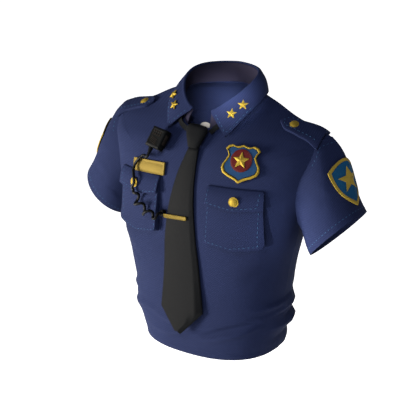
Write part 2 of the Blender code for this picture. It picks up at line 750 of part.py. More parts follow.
def chest_frame(x, height, lift, turn=0.0):
    """Right, up and outward axes of a stiff piece pinned to the chest, with its origin there."""
    place, normal = chest(x, height, lift)
    right = Vector((0, 0, 1)).cross(normal).normalized()
    if right.x < 0:
        right = -right
    up = normal.cross(right).normalized()
    if up.z < 0:
        up = -up
    spin = Matrix.Rotation(turn, 3, normal)
    right = spin @ right
    up = spin @ up
    return Matrix(((right.x, up.x, normal.x, place.x), (right.y, up.y, normal.y, place.y),
                   (right.z, up.z, normal.z, place.z), (0, 0, 0, 1)))


def outline_turned(name, place, outline, profile, finish):
    """Solid whose level sections are one outline at the profile's (scale, lift) pairs."""
    rings = []
    vertices = []
    for scale, lift in profile:
        if scale == 0:
            rings.append([len(vertices)])
            vertices.append(place(0, 0, lift))
            continue
        rings.append(list(range(len(vertices), len(vertices) + len(outline))))
        vertices.extend(place(a * scale, b * scale, lift) for a, b in outline)
    count = len(outline)
    closed = len(rings[0]) > 1
    pairs = list(zip(rings, rings[1:] + ([rings[0]] if closed else [])))
    faces = []
    for first, second in pairs:
        if len(first) == 1 and len(second) == 1:
            continue
        for i in range(count):
            j = (i + 1) % count
            if len(first) == 1:
                faces.append((first[0], second[i], second[j]))
            elif len(second) == 1:
                faces.append((first[i], first[j], second[0]))
            else:
                faces.append((first[i], first[j], second[j], second[i]))
    return add_mesh(name, vertices, faces, finish)


def on_frame(frame):
    """Placing function of a flat frame."""
    return lambda a, b, lift: frame @ Vector((a, b, lift))


def whole_outline(half):
    """Both halves of an outline given by its right half, from top to bottom."""
    return list(half) + [(-a, b) for a, b in reversed(half[1:-1])]


def star_outline(radius, inner=0.42):
    """Five pointed star."""
    points = []
    for i in range(10):
        reach = radius if i % 2 == 0 else radius * inner
        turn = math.pi / 5 * i
        points.append((reach * math.sin(turn), reach * math.cos(turn)))
    return points


def circle_outline(radius, count=20):
    """Round outline."""
    return [(radius * math.sin(2 * math.pi * i / count), radius * math.cos(2 * math.pi * i / count))
            for i in range(count)]


def make_button(name, frame, radius=BUTTON_RADIUS, height=BUTTON_HEIGHT, finish=None):
    """Domed button, turned about its own axis."""
    profile = [(0.0, height), (0.5, height * 0.92), (0.85, height * 0.65), (1.0, height * 0.30), (0.94, 0.0), (0.0, 0.0)]
    made = outline_turned(name, on_frame(frame), circle_outline(radius, 16), profile, finish or gold(name))
    return made


def pocket_lift(height):
    """How far the pocket bag stands off the chest at a height."""
    share = (BAG_TOP - height) / (BAG_TOP - BAG_POINT)
    return BAG_LIFT_TOP + (BAG_LIFT_LOW - BAG_LIFT_TOP) * max(0.0, min(1.0, share)) ** 0.75


def pocket_edge(across, side, point):
    """Lower edge of a pocket or flap, dipping to a blunt point in the middle."""
    return side + (point - side) * (1 - abs(2 * across - 1)) ** 0.9


def make_pocket(side, mirror):
    """Pocket bag, flap and button on one side of the chest."""
    sign = -1 if mirror else 1
    columns = 10
    rows = 8
    outer = []
    inner = []
    foot = SEAM_GAP
    for row in range(rows + 1):
        down = row / rows
        line = []
        behind = []
        for column in range(columns + 1):
            across = column / columns
            x = POCKET_IN + (POCKET_OUT - POCKET_IN) * across
            low = pocket_edge(across, BAG_SIDE, BAG_POINT)
            height = BAG_TOP + (low - BAG_TOP) * down
            rim = row in (0, rows) or column in (0, columns)
            near_x = min(max(x, POCKET_IN + CLOTH), POCKET_OUT - CLOTH)
            near_z = min(max(height, low + CLOTH), BAG_TOP - CLOTH)
            puff = 0.0016 * math.sin(math.pi * across) * math.sin(math.pi * down)
            lift = pocket_lift(height) + puff
            line.append(chest(sign * x, height, foot if rim else lift)[0])
            behind.append(chest(sign * near_x, near_z, foot if rim else lift - CLOTH)[0])
        outer.append(line)
        inner.append(behind)
    rows_out = []
    rows_in = []
    for row in range(rows + 1):
        rows_out.append(outer[row])
        rows_in.append(inner[row])
    shell_out = add_edge_rows(rows_out, sign, columns, rows, True)
    shell_in = add_edge_rows(rows_in, sign, columns, rows, False)
    wall("pocket_" + side, shell_out, shell_in, navy("pocket_" + side))

    flap = []
    lining = []
    for row in range(5):
        down = row / 4
        line = []
        behind = []
        for column in range(columns + 1):
            across = column / columns
            x = POCKET_IN - 0.001 + (POCKET_OUT - POCKET_IN + 0.002) * across
            low = pocket_edge(across, FLAP_SIDE, FLAP_POINT)
            height = FLAP_TOP + (low - FLAP_TOP) * down
            lift = max(pocket_lift(height) + 0.0018, 0.0036) + 0.0008 + 0.0012 * math.sin(math.pi * across) * down
            lift += FLAP_CLOTH * min(1.0, 0.55 + down)
            if row == 0:
                lift = 0.0008 + FLAP_CLOTH
            line.append(chest(sign * x, height, lift)[0])
            behind.append(chest(sign * x, height, lift - FLAP_CLOTH)[0])
        flap.append(line)
        lining.append(behind)
    wall("pocket_flap_" + side, flap, lining, navy("pocket_flap_" + side))
    x, height = POCKET_BUTTON
    lift = pocket_lift(height) + 0.0018 + 0.0008 + FLAP_CLOTH + 0.0019
    make_button("pocket_button_" + side, chest_frame(sign * x, height, lift + SEAM_GAP))


def add_edge_rows(grid, sign, columns, rows, outside):
    """Give a pocket grid a turned edge: a second rim line at full lift just inside the one on the chest."""
    inset = 0.0004 if outside else CLOTH + 0.0004
    lines = []
    for row in range(rows + 1):
        down = row / rows
        line = []
        for column in range(columns + 1):
            across = column / columns
            x = POCKET_IN + (POCKET_OUT - POCKET_IN) * across
            low = pocket_edge(across, BAG_SIDE, BAG_POINT)
            height = BAG_TOP + (low - BAG_TOP) * down
            x = min(max(x, POCKET_IN + inset), POCKET_OUT - inset)
            height = min(max(height, low + inset), BAG_TOP - inset)
            lift = pocket_lift(height) - (0.0 if outside else CLOTH)
            line.append(chest(sign * x, height, max(lift, SEAM_GAP + (0.0016 if outside else 0.0002)))[0])
        lines.append(line)
    middle = []
    for row in range(rows + 1):
        line = [grid[row][0]]
        if row in (0, rows):
            line.append(grid[row][0].lerp(grid[row][1], 0.02))
            line.extend(grid[row][1:-1])
            line.append(grid[row][-1].lerp(grid[row][-2], 0.02))
        else:
            line.append(lines[row][0])
            line.extend(grid[row][1:-1])
            line.append(lines[row][-1])
        line.append(grid[row][-1])
        middle.append(line)
    second = [grid[0][0].lerp(grid[1][0], 0.02), lines[0][0]] + lines[0][1:-1]
    second += [lines[0][-1], grid[0][-1].lerp(grid[1][-1], 0.02)]
    ahead = [grid[rows][0].lerp(grid[rows - 1][0], 0.02), lines[rows][0]] + lines[rows][1:-1]
    ahead += [lines[rows][-1], grid[rows][-1].lerp(grid[rows - 1][-1], 0.02)]
    return [middle[0], second] + middle[1:-1] + [ahead, middle[-1]]


def tree_of(*names):
    """Search tree over the faces of some finished pieces."""
    points = []
    faces = []
    for name in names:
        data = bpy.data.objects[name].data
        shift = len(points)
        points.extend(vertex.co.copy() for vertex in data.vertices)
        faces.extend(tuple(shift + corner for corner in face.vertices) for face in data.polygons)
    return BVHTree.FromPolygons(points, faces)


def push_clear(inner, ways, tree, clearance, passes=5):
    """Move a wall's underside along its outward ways until it stands clear of the pieces under it."""
    rows = len(inner)
    columns = len(inner[0])
    for _ in range(passes):
        moved = {}
        for row in range(rows):
            for column in range(columns):
                for down, over in ((0, 0), (0, 1), (1, 0), (1, 1)):
                    if row + down >= rows or column + over >= columns:
                        continue
                    corners = {(row, column), (row + down, column + over)}
                    if down and over:
                        corners |= {(row + 1, column), (row, column + 1)}
                    middle = sum((inner[r][c] for r, c in corners), Vector()) / len(corners)
                    near, _, _, away = tree.find_nearest(middle)
                    above = (middle - near).dot(ways[row][column])
                    short = clearance - math.copysign(away, above)
                    if short > 0:
                        for corner in corners:
                            moved[corner] = max(short, moved.get(corner, 0))
        if not moved:
            return
        for (row, column), short in moved.items():
            inner[row][column] += min(short, clearance) * ways[row][column]


def strap_point(tree, x, y):
    """Highest point of the shirt by a plan position, on either side of a seam."""
    hits = [tree.ray_cast(Vector((x + reach, y, 0.1)), Vector((0, 0, -1)))[0] for reach in (-0.0007, 0.0007)]
    return Vector((x, y, max(hit.z for hit in hits)))


def make_strap(side, mirror):
    """Shoulder strap with its blunt point to the neck, and its button."""
    sign = -1 if mirror else 1
    tree = tree_of("front_panel", "back_panel", "sleeve_left")
    outer = []
    inner = []
    columns = 6
    for x in STRAP_STATIONS:
        centre = from_table(STRAP, 1, x)
        half = from_table(STRAP, 2, x)
        inner.append([strap_point(tree, x, centre + half * (2 * column / columns - 1))
                      for column in range(columns + 1)])
    outward = grid_normals(inner)
    if outward[0][0].z < 0:
        outward = [[-n for n in line] for line in outward]
    inner = [[point + 0.0010 * way for point, way in zip(*lines)] for lines in zip(inner, outward)]
    push_clear(inner, outward, tree, 0.0010)
    for points, ways in zip(inner, outward):
        outer.append([point + STRAP_THICK * way for point, way in zip(points, ways)])
    flip = Vector((sign, 1, 1))
    outer = [[point * flip for point in line] for line in outer]
    inner = [[point * flip for point in line] for line in inner]
    wall("epaulette_" + side, outer, inner, navy("epaulette_" + side))
    x, y = STRAP_BUTTON
    place, normal, _, _ = tree_of("epaulette_" + side).ray_cast(Vector((sign * x, y, 0.1)), Vector((0, 0, -1)))
    place = place + 0.0008 * normal
    right = Vector((0, 1, 0)).cross(normal).normalized()
    up = normal.cross(right)
    frame = Matrix(((right.x, up.x, normal.x, place.x), (right.y, up.y, normal.y, place.y),
                    (right.z, up.z, normal.z, place.z), (0, 0, 0, 1)))
    make_button("epaulette_button_" + side, frame, radius=0.0098)


def make_tie():
    """Blade, knot, band round the neck and the clasp."""
    outer = []
    inner = []
    lowest = BLADE[-1][0]
    for row in range(BLADE_ROWS + 1):
        height = BLADE[0][0] + (lowest - BLADE[0][0]) * row / BLADE_ROWS
        centre = from_table(BLADE, 1, height)
        half = from_table(BLADE, 2, height)
        face = from_table(BLADE, 3, height)
        turned = from_table(BLADE, 4, height)
        line = []
        behind = []
        for across in BLADE_COLUMNS:
            thick = BLADE_THICK * (1 - 0.45 * across ** 4)
            y = face + BLADE_CROWN * across * across
            if across == BLADE_COLUMNS[-1]:
                y += turned
            line.append(Vector((centre + half * across, y, height)))
            behind.append(Vector((centre + half * across, y + thick, height)))
        outer.append(line)
        inner.append(behind)
    tip = Vector(BLADE_TIP)
    for share in (0.5, 0.94):
        line = []
        behind = []
        for column, across in enumerate(BLADE_COLUMNS):
            goal = tip + Vector((0.001 * across - 0.003, 0, 0.0065))
            if across == BLADE_COLUMNS[-1]:
                goal = tip + Vector((0.001, BLADE_TIP_BACK, 0))
            line.append(outer[BLADE_ROWS][column].lerp(goal, share))
            behind.append(inner[BLADE_ROWS][column].lerp(goal + Vector((0, BLADE_THICK * 0.8, 0)), share))
        outer.append(line)
        inner.append(behind)
    wall("tie_blade", outer, inner, charcoal("tie_blade"))

    count = 20
    vertices = []
    faces = []
    for height, x, y, half, depth in KNOT:
        for i in range(count):
            turn = 2 * math.pi * i / count
            a = math.copysign(abs(math.cos(turn)) ** 0.75, math.cos(turn))
            b = math.copysign(abs(math.sin(turn)) ** 0.75, math.sin(turn))
            vertices.append((x + half * a, y + depth * b, height - 0.08 * half * a))
    for ring in range(len(KNOT) - 1):
        for i in range(count):
            j = (i + 1) % count
            faces.append((ring * count + i, ring * count + j, (ring + 1) * count + j, (ring + 1) * count + i))
    faces.append(tuple(range(count)))
    faces.append(tuple(range((len(KNOT) - 1) * count, len(KNOT) * count)))
    add_mesh("tie_knot", vertices, faces, charcoal("tie_knot"))


def make_clasp():
    """Gilt clasp across the tie."""
    height = -0.2075
    face = from_table(BLADE, 3, height)
    bpy.ops.mesh.primitive_cube_add(size=1, location=(-0.0115, face - SEAM_GAP - 0.0016, height))
    bar = bpy.context.object
    bar.name = "tie_clasp"
    bar.data.name = "tie_clasp"
    bar.scale = (0.0540, 0.0028, 0.0052)
    bar.rotation_euler = (0, math.radians(-3.0), 0)
    bpy.ops.object.transform_apply(location=False, rotation=False, scale=True)
    edge = bar.modifiers.new("edge", "BEVEL")
    edge.width = 0.0009
    edge.segments = 2
    bar.data.materials.append(gold("tie_clasp"))
    for group in list(bar.users_collection):
        group.objects.unlink(bar)
    UNIFORM.objects.link(bar)


def make_badge():
    """Shield badge: gilt rim, blue field, red disc and star."""
    frame = chest_frame(*BADGE_AT, 0.0007)
    outline = whole_outline(BADGE_HALF)
    rim = [(1.0, 0.0), (1.0, 0.0022), (0.955, 0.0034), (0.90, 0.0034), (0.86, 0.0)]
    outline_turned("badge_rim", on_frame(frame), outline, rim, gold("badge_rim"))
    field = [(0.0, 0.0026), (0.45, 0.0025), (0.845, 0.0018), (0.845, 0.0), (0.0, 0.0)]
    outline_turned("badge_field", on_frame(frame), outline, field, material("badge_field", (0.014, 0.055, 0.12), 0.4))
    disc = [(0.0, 0.0042), (0.86, 0.0040), (1.0, 0.0034), (1.0, 0.0029), (0.0, 0.0029)]
    outline_turned("badge_disc", on_frame(frame), circle_outline(0.0215, 24), disc,
                   material("badge_disc", (0.10, 0.010, 0.010), 0.4))
    star = [(0.0, 0.0078), (1.0, 0.0050), (1.0, 0.0045), (0.0, 0.0045)]
    outline_turned("badge_star", on_frame(frame), star_outline(0.0165, 0.45), star, gold("badge_star"))


def make_plate():
    """Bevelled gilt bar over the wearer's right pocket, left bare."""
    frame = chest_frame(*PLATE_AT, 0.0006, math.radians(1.5))
    half = PLATE_WIDTH / 2
    tall = PLATE_HEIGHT / 2
    outline = [(half, tall), (half, -tall), (-half, -tall), (-half, tall)]
    profile = [(1.0, 0.0), (1.0, PLATE_THICK * 0.5), (0.965, PLATE_THICK), (0.0, PLATE_THICK)]
    outline_turned("name_plate", on_frame(frame), outline, [(0.0, 0.0)] + profile, gold("name_plate"))


def make_loop(stand, angles):
    """Band of the tie round the outside of the collar's stand, from one side of the knot to the other."""
    centres = []
    for column, angle in enumerate(angles):
        if abs(math.degrees(angle)) < LOOP_ON_STAND:
            continue
        flat = Vector((math.sin(angle), -math.cos(angle), 0))
        share = 0.55 - 0.10 * abs(math.cos(angle))
        place = stand[0][column].lerp(stand[-1][column], share) + (0.0012 + LOOP_THICK / 2 + 0.0005) * flat
        centres.append((angle, place))
    for side in (1, -1):
        ends = []
        for turned, out, height in LOOP_FRONT:
            angle = side * math.radians(turned)
            ends.append((angle, Vector(((RING_X + out) * math.sin(angle),
                                        RING_CENTRE_Y - (RING_Y + out) * math.cos(angle), height))))
        knot = KNOT[2]
        reach = knot[3] + 0.0017 + (0.0015 if side > 0 else 0.0)
        ends.insert(0, (side * math.radians(14), Vector((knot[1] + side * reach, knot[2] + 0.0030, -0.0465))))
        if side < 0:
            middle = ends[0][1].lerp(ends[1][1], 0.5) + Vector((0, -0.0008, 0.0003))
            ends.insert(1, (side * math.radians(19), middle))
            centres = ends + centres
        else:
            centres = centres + ends[::-1]
    rows = [[], []]
    behind = [[], []]
    faces = []
    for i, (angle, place) in enumerate(centres):
        before = centres[max(i - 1, 0)][1]
        after = centres[min(i + 1, len(centres) - 1)][1]
        along = (after - before).normalized()
        lean = 0.55 if abs(math.degrees(angle)) < 60 else 0.18
        face = Vector((math.sin(angle), -math.cos(angle), lean))
        face = (face - face.dot(along) * along).normalized()
        faces.append(face)
        rise = face.cross(along).normalized()
        if rise.z < 0:
            rise = -rise
        for row, way in ((0, -1), (1, 1)):
            edge = place + way * LOOP_HALF * rise
            rows[row].append(edge + LOOP_THICK / 2 * face)
            behind[row].append(edge - LOOP_THICK / 2 * face)
    under = [[point.copy() for point in line] for line in behind]
    push_clear(behind, [faces, faces], tree_of("collar_stand", "front_panel"), 0.0009)
    rows = [[a + b - c for a, b, c in zip(*lines)] for lines in zip(rows, behind, under)]
    wall("tie_loop", rows, behind, charcoal("tie_loop"))


def nearest_frame(tree, near, lift, turn=0.0):
    """Frame lying on a piece at the nearest place to a point."""
    place, normal, _, _ = tree.find_nearest(Vector(near))
    if normal.dot(Vector((near[0], near[1] - RING_CENTRE_Y, 0.05))) < 0:
        normal = -normal
    right = Vector((0, 0, 1)).cross(normal).normalized()
    up = normal.cross(right).normalized()
    spin = Matrix.Rotation(turn, 3, normal)
    right = spin @ right
    up = spin @ up
    place = place + lift * normal
    return Matrix(((right.x, up.x, normal.x, place.x), (right.y, up.y, normal.y, place.y),
                   (right.z, up.z, normal.z, place.z), (0, 0, 0, 1)))


def make_collar_stars():
    """Two small faceted stars on each side of the collar."""
    tree = tree_of("collar_fall")
    profile = [(0.0, 0.0042), (1.0, 0.0014), (1.0, 0.0), (0.0, 0.0)]
    for side, sign in (("left", 1), ("right", -1)):
        for label, (x, y, z) in zip(("low", "high"), COLLAR_STARS):
            frame = nearest_frame(tree, (sign * x, y, z), 0.0009)
            name = "collar_star_" + label + "_" + side
            outline_turned(name, on_frame(frame), star_outline(0.0105, 0.44), profile, gold(name))


def finer(outline, longest):
    """The same outline with no edge longer than that."""
    points = []
    for (a, b), (c, d) in zip(outline, outline[1:] + outline[:1]):
        parts = max(1, math.ceil(math.hypot(c - a, d - b) / longest))
        points.extend((a + (c - a) * i / parts, b + (d - b) * i / parts) for i in range(parts))
    return points


def make_patches():
    """Shield patch on each sleeve: border, field and star, shaped to the sleeve."""
    tree = tree_of("sleeve_left")
    middle = Vector(PATCH_AT)
    down = Vector((0.42, 0.0, -0.90)).normalized()
    across = Vector((0, 1, 0))
    out = across.cross(down).normalized()
    if out.x < 0:
        out = -out
    outline = finer(whole_outline(PATCH_HALF), 0.012)
    star = finer(star_outline(PATCH_STAR), 0.008)
    border_lifts = [(1.0, 0.0), (1.0, 0.0018), (0.86, 0.0018), (0.86, 0.0)]
    field_lifts = [(0.0, 0.0013), (0.28, 0.0013), (0.50, 0.0013), (0.69, 0.0013), (0.847, 0.0013),
                   (0.847, 0.0), (0.69, 0.0), (0.50, 0.0), (0.28, 0.0), (0.0, 0.0)]
    star_lifts = [(0.0, 0.0037), (0.5, 0.0032), (1.0, 0.0027), (1.0, 0.0020), (0.5, 0.0020), (0.0, 0.0020)]
    for side, sign in (("left", 1), ("right", -1)):

        def place(a, b, lift):
            start = middle + a * across - b * down + 0.05 * out
            found = tree.ray_cast(start, -out)[0]
            ring = found - CUFF_CENTRE
            axis = Vector((math.sin(CUFF_TILT), 0, -math.cos(CUFF_TILT)))
            away = (ring - ring.dot(axis) * axis).normalized()
            spot = found + (lift + PATCH_CLEAR) * away
            return Vector((sign * spot.x, spot.y, spot.z))

        outline_turned("patch_border_" + side, place, outline, border_lifts, gold("patch_border_" + side))
        outline_turned("patch_field_" + side, place, outline, field_lifts,
                       material("patch_field_" + side, (0.010, 0.065, 0.14), 0.7))
        outline_turned("patch_star_" + side, place, star, star_lifts, gold("patch_star_" + side))


def rounded_box(name, frame, size, bevel, finish):
    """Box with rounded edges, placed in a frame."""
    bpy.ops.mesh.primitive_cube_add(size=1)
    box = bpy.context.object
    box.name = name
    box.data.name = name
    box.scale = size
    bpy.ops.object.transform_apply(location=False, rotation=False, scale=True)
    box.matrix_world = frame
    edge = box.modifiers.new("edge", "BEVEL")
    edge.width = bevel
    edge.segments = 2
    box.data.materials.append(finish)
    for group in list(box.users_collection):
        group.objects.unlink(box)
    UNIFORM.objects.link(box)
    return box


def smooth_route(points, spacing):
    """Evenly spaced points on a smooth curve through the given ones."""
    spans = [(b - a).length for a, b in zip(points, points[1:])]
    ways = [(b - a) / span for a, b, span in zip(points, points[1:], spans)]
    slopes = [ways[0]]
    for i in range(1, len(points) - 1):
        slopes.append((ways[i - 1] * spans[i] + ways[i] * spans[i - 1]) / (spans[i - 1] + spans[i]))
    slopes.append(ways[-1])
    fine = []
    for i, span in enumerate(spans):
        for part in range(24):
            t = part / 24
            fine.append((1 + 2 * t) * (1 - t) ** 2 * points[i] + t * t * (3 - 2 * t) * points[i + 1]
                        + span * (t * (1 - t) ** 2 * slopes[i] + t * t * (t - 1) * slopes[i + 1]))
    fine.append(points[-1])
    walked = [0.0]
    for a, b in zip(fine, fine[1:]):
        walked.append(walked[-1] + (b - a).length)
    parts = max(2, round(walked[-1] / spacing))
    goals = [walked[-1] * i / parts for i in range(parts + 1)]
    return [Vector([float(np.interp(goal, walked, [p[k] for p in fine])) for k in range(3)]) for goal in goals]


def tube(name, points, radius, finish, resolution=2):
    """Round tube along a route, with closed ends."""
    data = bpy.data.curves.new(name, "CURVE")
    data.dimensions = "3D"
    data.bevel_depth = radius
    data.bevel_resolution = resolution
    data.use_fill_caps = True
    spline = data.splines.new("POLY")
    spline.points.add(len(points) - 1)
    for spot, point in zip(spline.points, points):
        spot.co = (*point, 1)
    data.materials.append(finish)
    made = bpy.data.objects.new(name, data)
    UNIFORM.objects.link(made)
    return made


def make_microphone():
    """Shoulder microphone on its clip, its strain relief, its cord and the keeper by the tie."""
    frame = chest_frame(*MIC_AT, 0.0)
    body = frame @ Matrix.Translation((0, 0, MIC_LIFT + MIC_THICK / 2))
    rounded_box("mic_body", body, (MIC_WIDTH, MIC_HEIGHT, MIC_THICK), 0.003, black("mic_body"))
    deep = MIC_LIFT - SEAM_GAP - 0.0008
    clip = frame @ Matrix.Translation((0, 0, 0.0008 + deep / 2))
    rounded_box("mic_clip", clip, (CLIP_WIDTH, CLIP_HEIGHT, deep), 0.0008, black("mic_clip"))
    foot = frame @ Vector((-0.010, -MIC_HEIGHT / 2 - SEAM_GAP, MIC_LIFT + 0.0060))
    right = frame.col[0].to_3d()
    down = -frame.col[1].to_3d()
    ahead = right.cross(down)
    relief = Matrix(((right.x, ahead.x, down.x, foot.x), (right.y, ahead.y, down.y, foot.y),
                     (right.z, ahead.z, down.z, foot.z), (0, 0, 0, 1)))
    profile = [(0.0, 0.0), (1.0, 0.0), (0.92, 0.35 * RELIEF_LENGTH), (0.66, RELIEF_LENGTH), (0.0, RELIEF_LENGTH)]
    outline_turned("mic_strain_relief", on_frame(relief), circle_outline(RELIEF_RADIUS, 12), profile,
                   black("mic_strain_relief"))
    start = relief @ Vector((0, 0, RELIEF_LENGTH + SEAM_GAP))
    lead = [start, start + 0.007 * down] + [chest(*spot)[0] for spot in CORD_ROUTE]
    coil = [chest(*spot)[0] for spot in COIL_ROUTE]
    tube("mic_cord_lead", smooth_route(lead, 0.0065), CORD_RADIUS, black("mic_cord_lead"))
    tube("mic_cord_coil", smooth_route(coil, 0.010), COIL_RADIUS, black("mic_cord_coil"), 3)
    tail = [chest(*spot)[0] for spot in TAIL_ROUTE]
    tube("mic_cord_tail", smooth_route(tail, 0.0045), CORD_RADIUS, black("mic_cord_tail"))
    keeper = chest_frame(*KEEPER_AT, 0.0005 + KEEPER_SIZE[2] / 2)
    rounded_box("cord_keeper", keeper, KEEPER_SIZE, 0.001, black("cord_keeper"))


def make_top_button():
    """Cream button on the collar band, half hidden by the knot."""
    facing = Vector((0.22, -0.97, 0.10)).normalized()
    right = Vector((0, 0, 1)).cross(facing).normalized()
    up = facing.cross(right)
    x, y, z = TOP_BUTTON
    frame = Matrix(((right.x, up.x, facing.x, x), (right.y, up.y, facing.y, y), (right.z, up.z, facing.z, z),
                    (0, 0, 0, 1)))
    make_button("top_button", frame, TOP_BUTTON_RADIUS, 0.0026, material("top_button", (0.62, 0.58, 0.50), 0.4))


def main():
    """Make every piece."""
    front = make_panel("front_panel", False)
    back = make_panel("back_panel", True)
    loop = armhole_loop(front, back)
    make_sleeve("sleeve_left", loop, False)
    make_sleeve("sleeve_right", loop, True)
    stand, angles = make_collar(front, back)
    make_collar_stars()
    for side, mirror in (("left", False), ("right", True)):
        make_pocket(side, mirror)
        make_strap(side, mirror)
    make_patches()
    make_tie()
    make_loop(stand, angles)
    make_clasp()
    make_badge()
    make_plate()
    make_microphone()
    make_top_button()


main()
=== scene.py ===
"""Dresses the hollow police uniform: cloth, folds, stitching, tie, badge, buttons and microphone.

Metres, in the row's frame: +Z up, the wearer faces -Y and the wearer's left is +X.
"""
import math

import bmesh
import bpy
import numpy as np
from mathutils import Matrix, Vector
from mathutils.bvhtree import BVHTree


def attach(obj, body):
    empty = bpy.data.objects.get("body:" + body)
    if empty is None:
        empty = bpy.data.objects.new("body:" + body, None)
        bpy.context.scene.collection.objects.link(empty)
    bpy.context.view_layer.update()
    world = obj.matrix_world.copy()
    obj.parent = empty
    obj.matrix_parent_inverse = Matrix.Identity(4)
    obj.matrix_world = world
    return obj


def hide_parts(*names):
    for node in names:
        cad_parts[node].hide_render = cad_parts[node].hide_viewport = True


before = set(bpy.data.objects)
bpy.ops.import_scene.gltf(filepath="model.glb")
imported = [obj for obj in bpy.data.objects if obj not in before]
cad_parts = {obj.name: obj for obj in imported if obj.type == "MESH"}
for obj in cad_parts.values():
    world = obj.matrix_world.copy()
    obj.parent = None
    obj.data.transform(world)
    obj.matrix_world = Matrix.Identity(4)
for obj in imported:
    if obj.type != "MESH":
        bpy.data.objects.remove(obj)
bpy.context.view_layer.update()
SCENE = bpy.context.scene

# Camera, from the photograph's perspective
EYE = Vector((1.29124, -1.85822, 0.48829))
EYE_RIGHT = Vector((0.81640, 0.57748, 0.0))
EYE_UP = Vector((-0.17365, 0.24550, 0.95372))
EYE_AHEAD = Vector((-0.55075, 0.77862, -0.30071))
LENS = 102.857
SENSOR = 36
NEAREST, FARTHEST = 0.1, 60

# Merging of a solid's skin, and how bent a pair of triangles may be to become one square face
MERGE_WITHIN = 0.00002
SQUARE_BEND, SQUARE_SKEW = math.radians(50), math.radians(70)

# Edges bent by more degrees than this stay sharp when cloth is smoothed; the tie's turned-back
# edge is nearly flat, and its knot is all soft folds
RIM_DEGREES = 48
BLADE_RIM_DEGREES = 9
KNOT_RIM_DEGREES = 60
PATCH_RIM_DEGREES = 40
CLOTH_SHADING = 40
# The large folds of the waist lie below this height and stay nearly sharp
WAIST_TOP = -0.34
WAIST_DEGREES = 11
WAIST_SHARPNESS = 0.85

# How far a cut edge is brought to the cloth that it is sewn to or folded from
SEAM_REACH = 0.0009
FOLD_REACH = 0.0004

# Creases of the body are laid out on a cylinder of this radius
BODY_RADIUS = 0.135
# A crease fades to its ends, and the valley below it is a share of its height and width
CREASE_FADE = 0.8
VALLEY_DEPTH, VALLEY_OFFSET, VALLEY_WIDTH = 0.75, 1.7, 0.9

# Interlined or doubled pieces, by how much thicker they are in the photograph than their solids
THICKER = {"strap_": 0.0019, "flap_": 0.0011, "pocket_": 0.0009}
# The flaps stand off the bags at their lower edge
FLAP_STANDS_OFF = 0.0026
FLAP_TOP = -0.1360
FLAP_HEIGHT = 0.036

# Stitches as they show in the photograph, larger than life; their ends narrow and dive in
STITCH_LENGTH = 0.0052
STITCH_GAP = 0.0034
STITCH_RADIUS = 0.00054
STITCH_PROUD = 0.0002
STITCH_NARROWS = 0.35
STITCH_DIVES = 0.0006
STITCH_SHADING = 60

# Where the stitching runs: pockets and flaps in X and Z, with legs stepped by this much
LEG_STEP = 0.0085
POCKET_INNER, POCKET_OUTER, POCKET_TOP = 0.0609, 0.1576, -0.1560
POCKET_LOW, POCKET_TIP = -0.2410, -0.2490
FLAP_INNER, FLAP_OUTER, FLAP_LEG_TOP = 0.0600, 0.1585, -0.1400
FLAP_LOW, FLAP_OUTER_LOW, FLAP_TIP = -0.1655, -0.1650, -0.1723
# Straps: X, Y of the middle and half the width
STRAP_ROWS = [(0.2290, -0.0050, 0.0180), (0.2120, -0.0070, 0.0155), (0.1950, -0.0090, 0.0135),
              (0.1780, -0.0105, 0.0113), (0.1640, -0.0113, 0.0097), (0.1560, -0.0114, 0.0045)]
# Armholes: points of the sleeve this near the panels are at the seam, and the line is this far off
AT_SEAM = 0.0006
ARMHOLE_POINTS = 28
ARMHOLE_OUT, ARMHOLE_DOWN = 0.0090, 0.0020
# Cuffs: a ring round the sleeve, above its hem
CUFF_POINTS = 32
CUFF_TILT = math.radians(45)
CUFF_TURNS_BACK = 0.04
CUFF_MIDDLE = Vector((0.268, 0.0010, -0.222))
CUFF_ABOVE_HEM = 0.0085
CUFF_RADIUS = 0.072
# Lower edge of the collar from its point to the middle of the back: degrees round the neck, X, Y, Z
COLLAR_EDGE = [
    (19.0, 0.0660, -0.0790, -0.0508), (30.0, 0.0762, -0.0671, -0.0384),
    (41.0, 0.0822, -0.0594, -0.0288), (50.0, 0.0878, -0.0505, -0.0194),
    (60.0, 0.0925, -0.0414, -0.0117), (70.0, 0.0960, -0.0310, -0.0042),
    (80.0, 0.0985, -0.0190, 0.0033), (95.0, 0.0985, 0.0040, 0.0125),
    (110.0, 0.0940, 0.0250, 0.0170), (122.0, 0.0850, 0.0430, 0.0178),
    (136.0, 0.0690, 0.0625, 0.0175), (150.0, 0.0500, 0.0770, 0.0172),
    (165.0, 0.0260, 0.0850, 0.0170), (180.0, 0.0000, 0.0880, 0.0170)]
# Its front edge starts at this point, and its fold goes round the neck on this oval
COLLAR_TOP = Vector((0.0240, -0.0650, -0.0110))
CREST_ACROSS, CREST_ALONG, CREST_HEIGHT = 0.071, 0.063, 0.03
COLLAR_INWARD = Vector((0.0042, 0.0010, 0.0030))
COLLAR_ABOVE_EDGE = 0.0048

# Pressed steps in the face of a fitting: inset, then rise. A button's are shares of its size
BUTTON_RIM = 0.34
BUTTON_STEPS = ((0.04, 0.10), (0.07, 0.02), (0.05, -0.10), (0.04, 0.06), (0.14, 0.20),
                (0.18, 0.14), (0.20, 0.08), (0.16, 0.02))
PLATE_STEPS = ((0.0011, 0.0), (0.0005, -0.0006), (0.0030, 0.0), (0.0006, 0.0003))
CLASP_STEPS = ((0.0010, 0.0), (0.0004, -0.0003))
# Rounding of edges: width, segments, the degrees that count as an edge, and shading in degrees
PLATE_ROUNDING = (0.0005, 3, 40, 30)
CLASP_ROUNDING = (0.0011, 4, 50, 30)
BADGE_RIM_ROUNDING = (0.0007, 3, 25, 35)
CASE_ROUNDING = (0.0016, 3, 50, 35)
SMALL_PART_ROUNDING = (0.0005, 2, 30, 35)
KEY_ROUNDING = (0.0004, 2, 50)
SLAT_ROUNDING = (0.0002, 2, 50)
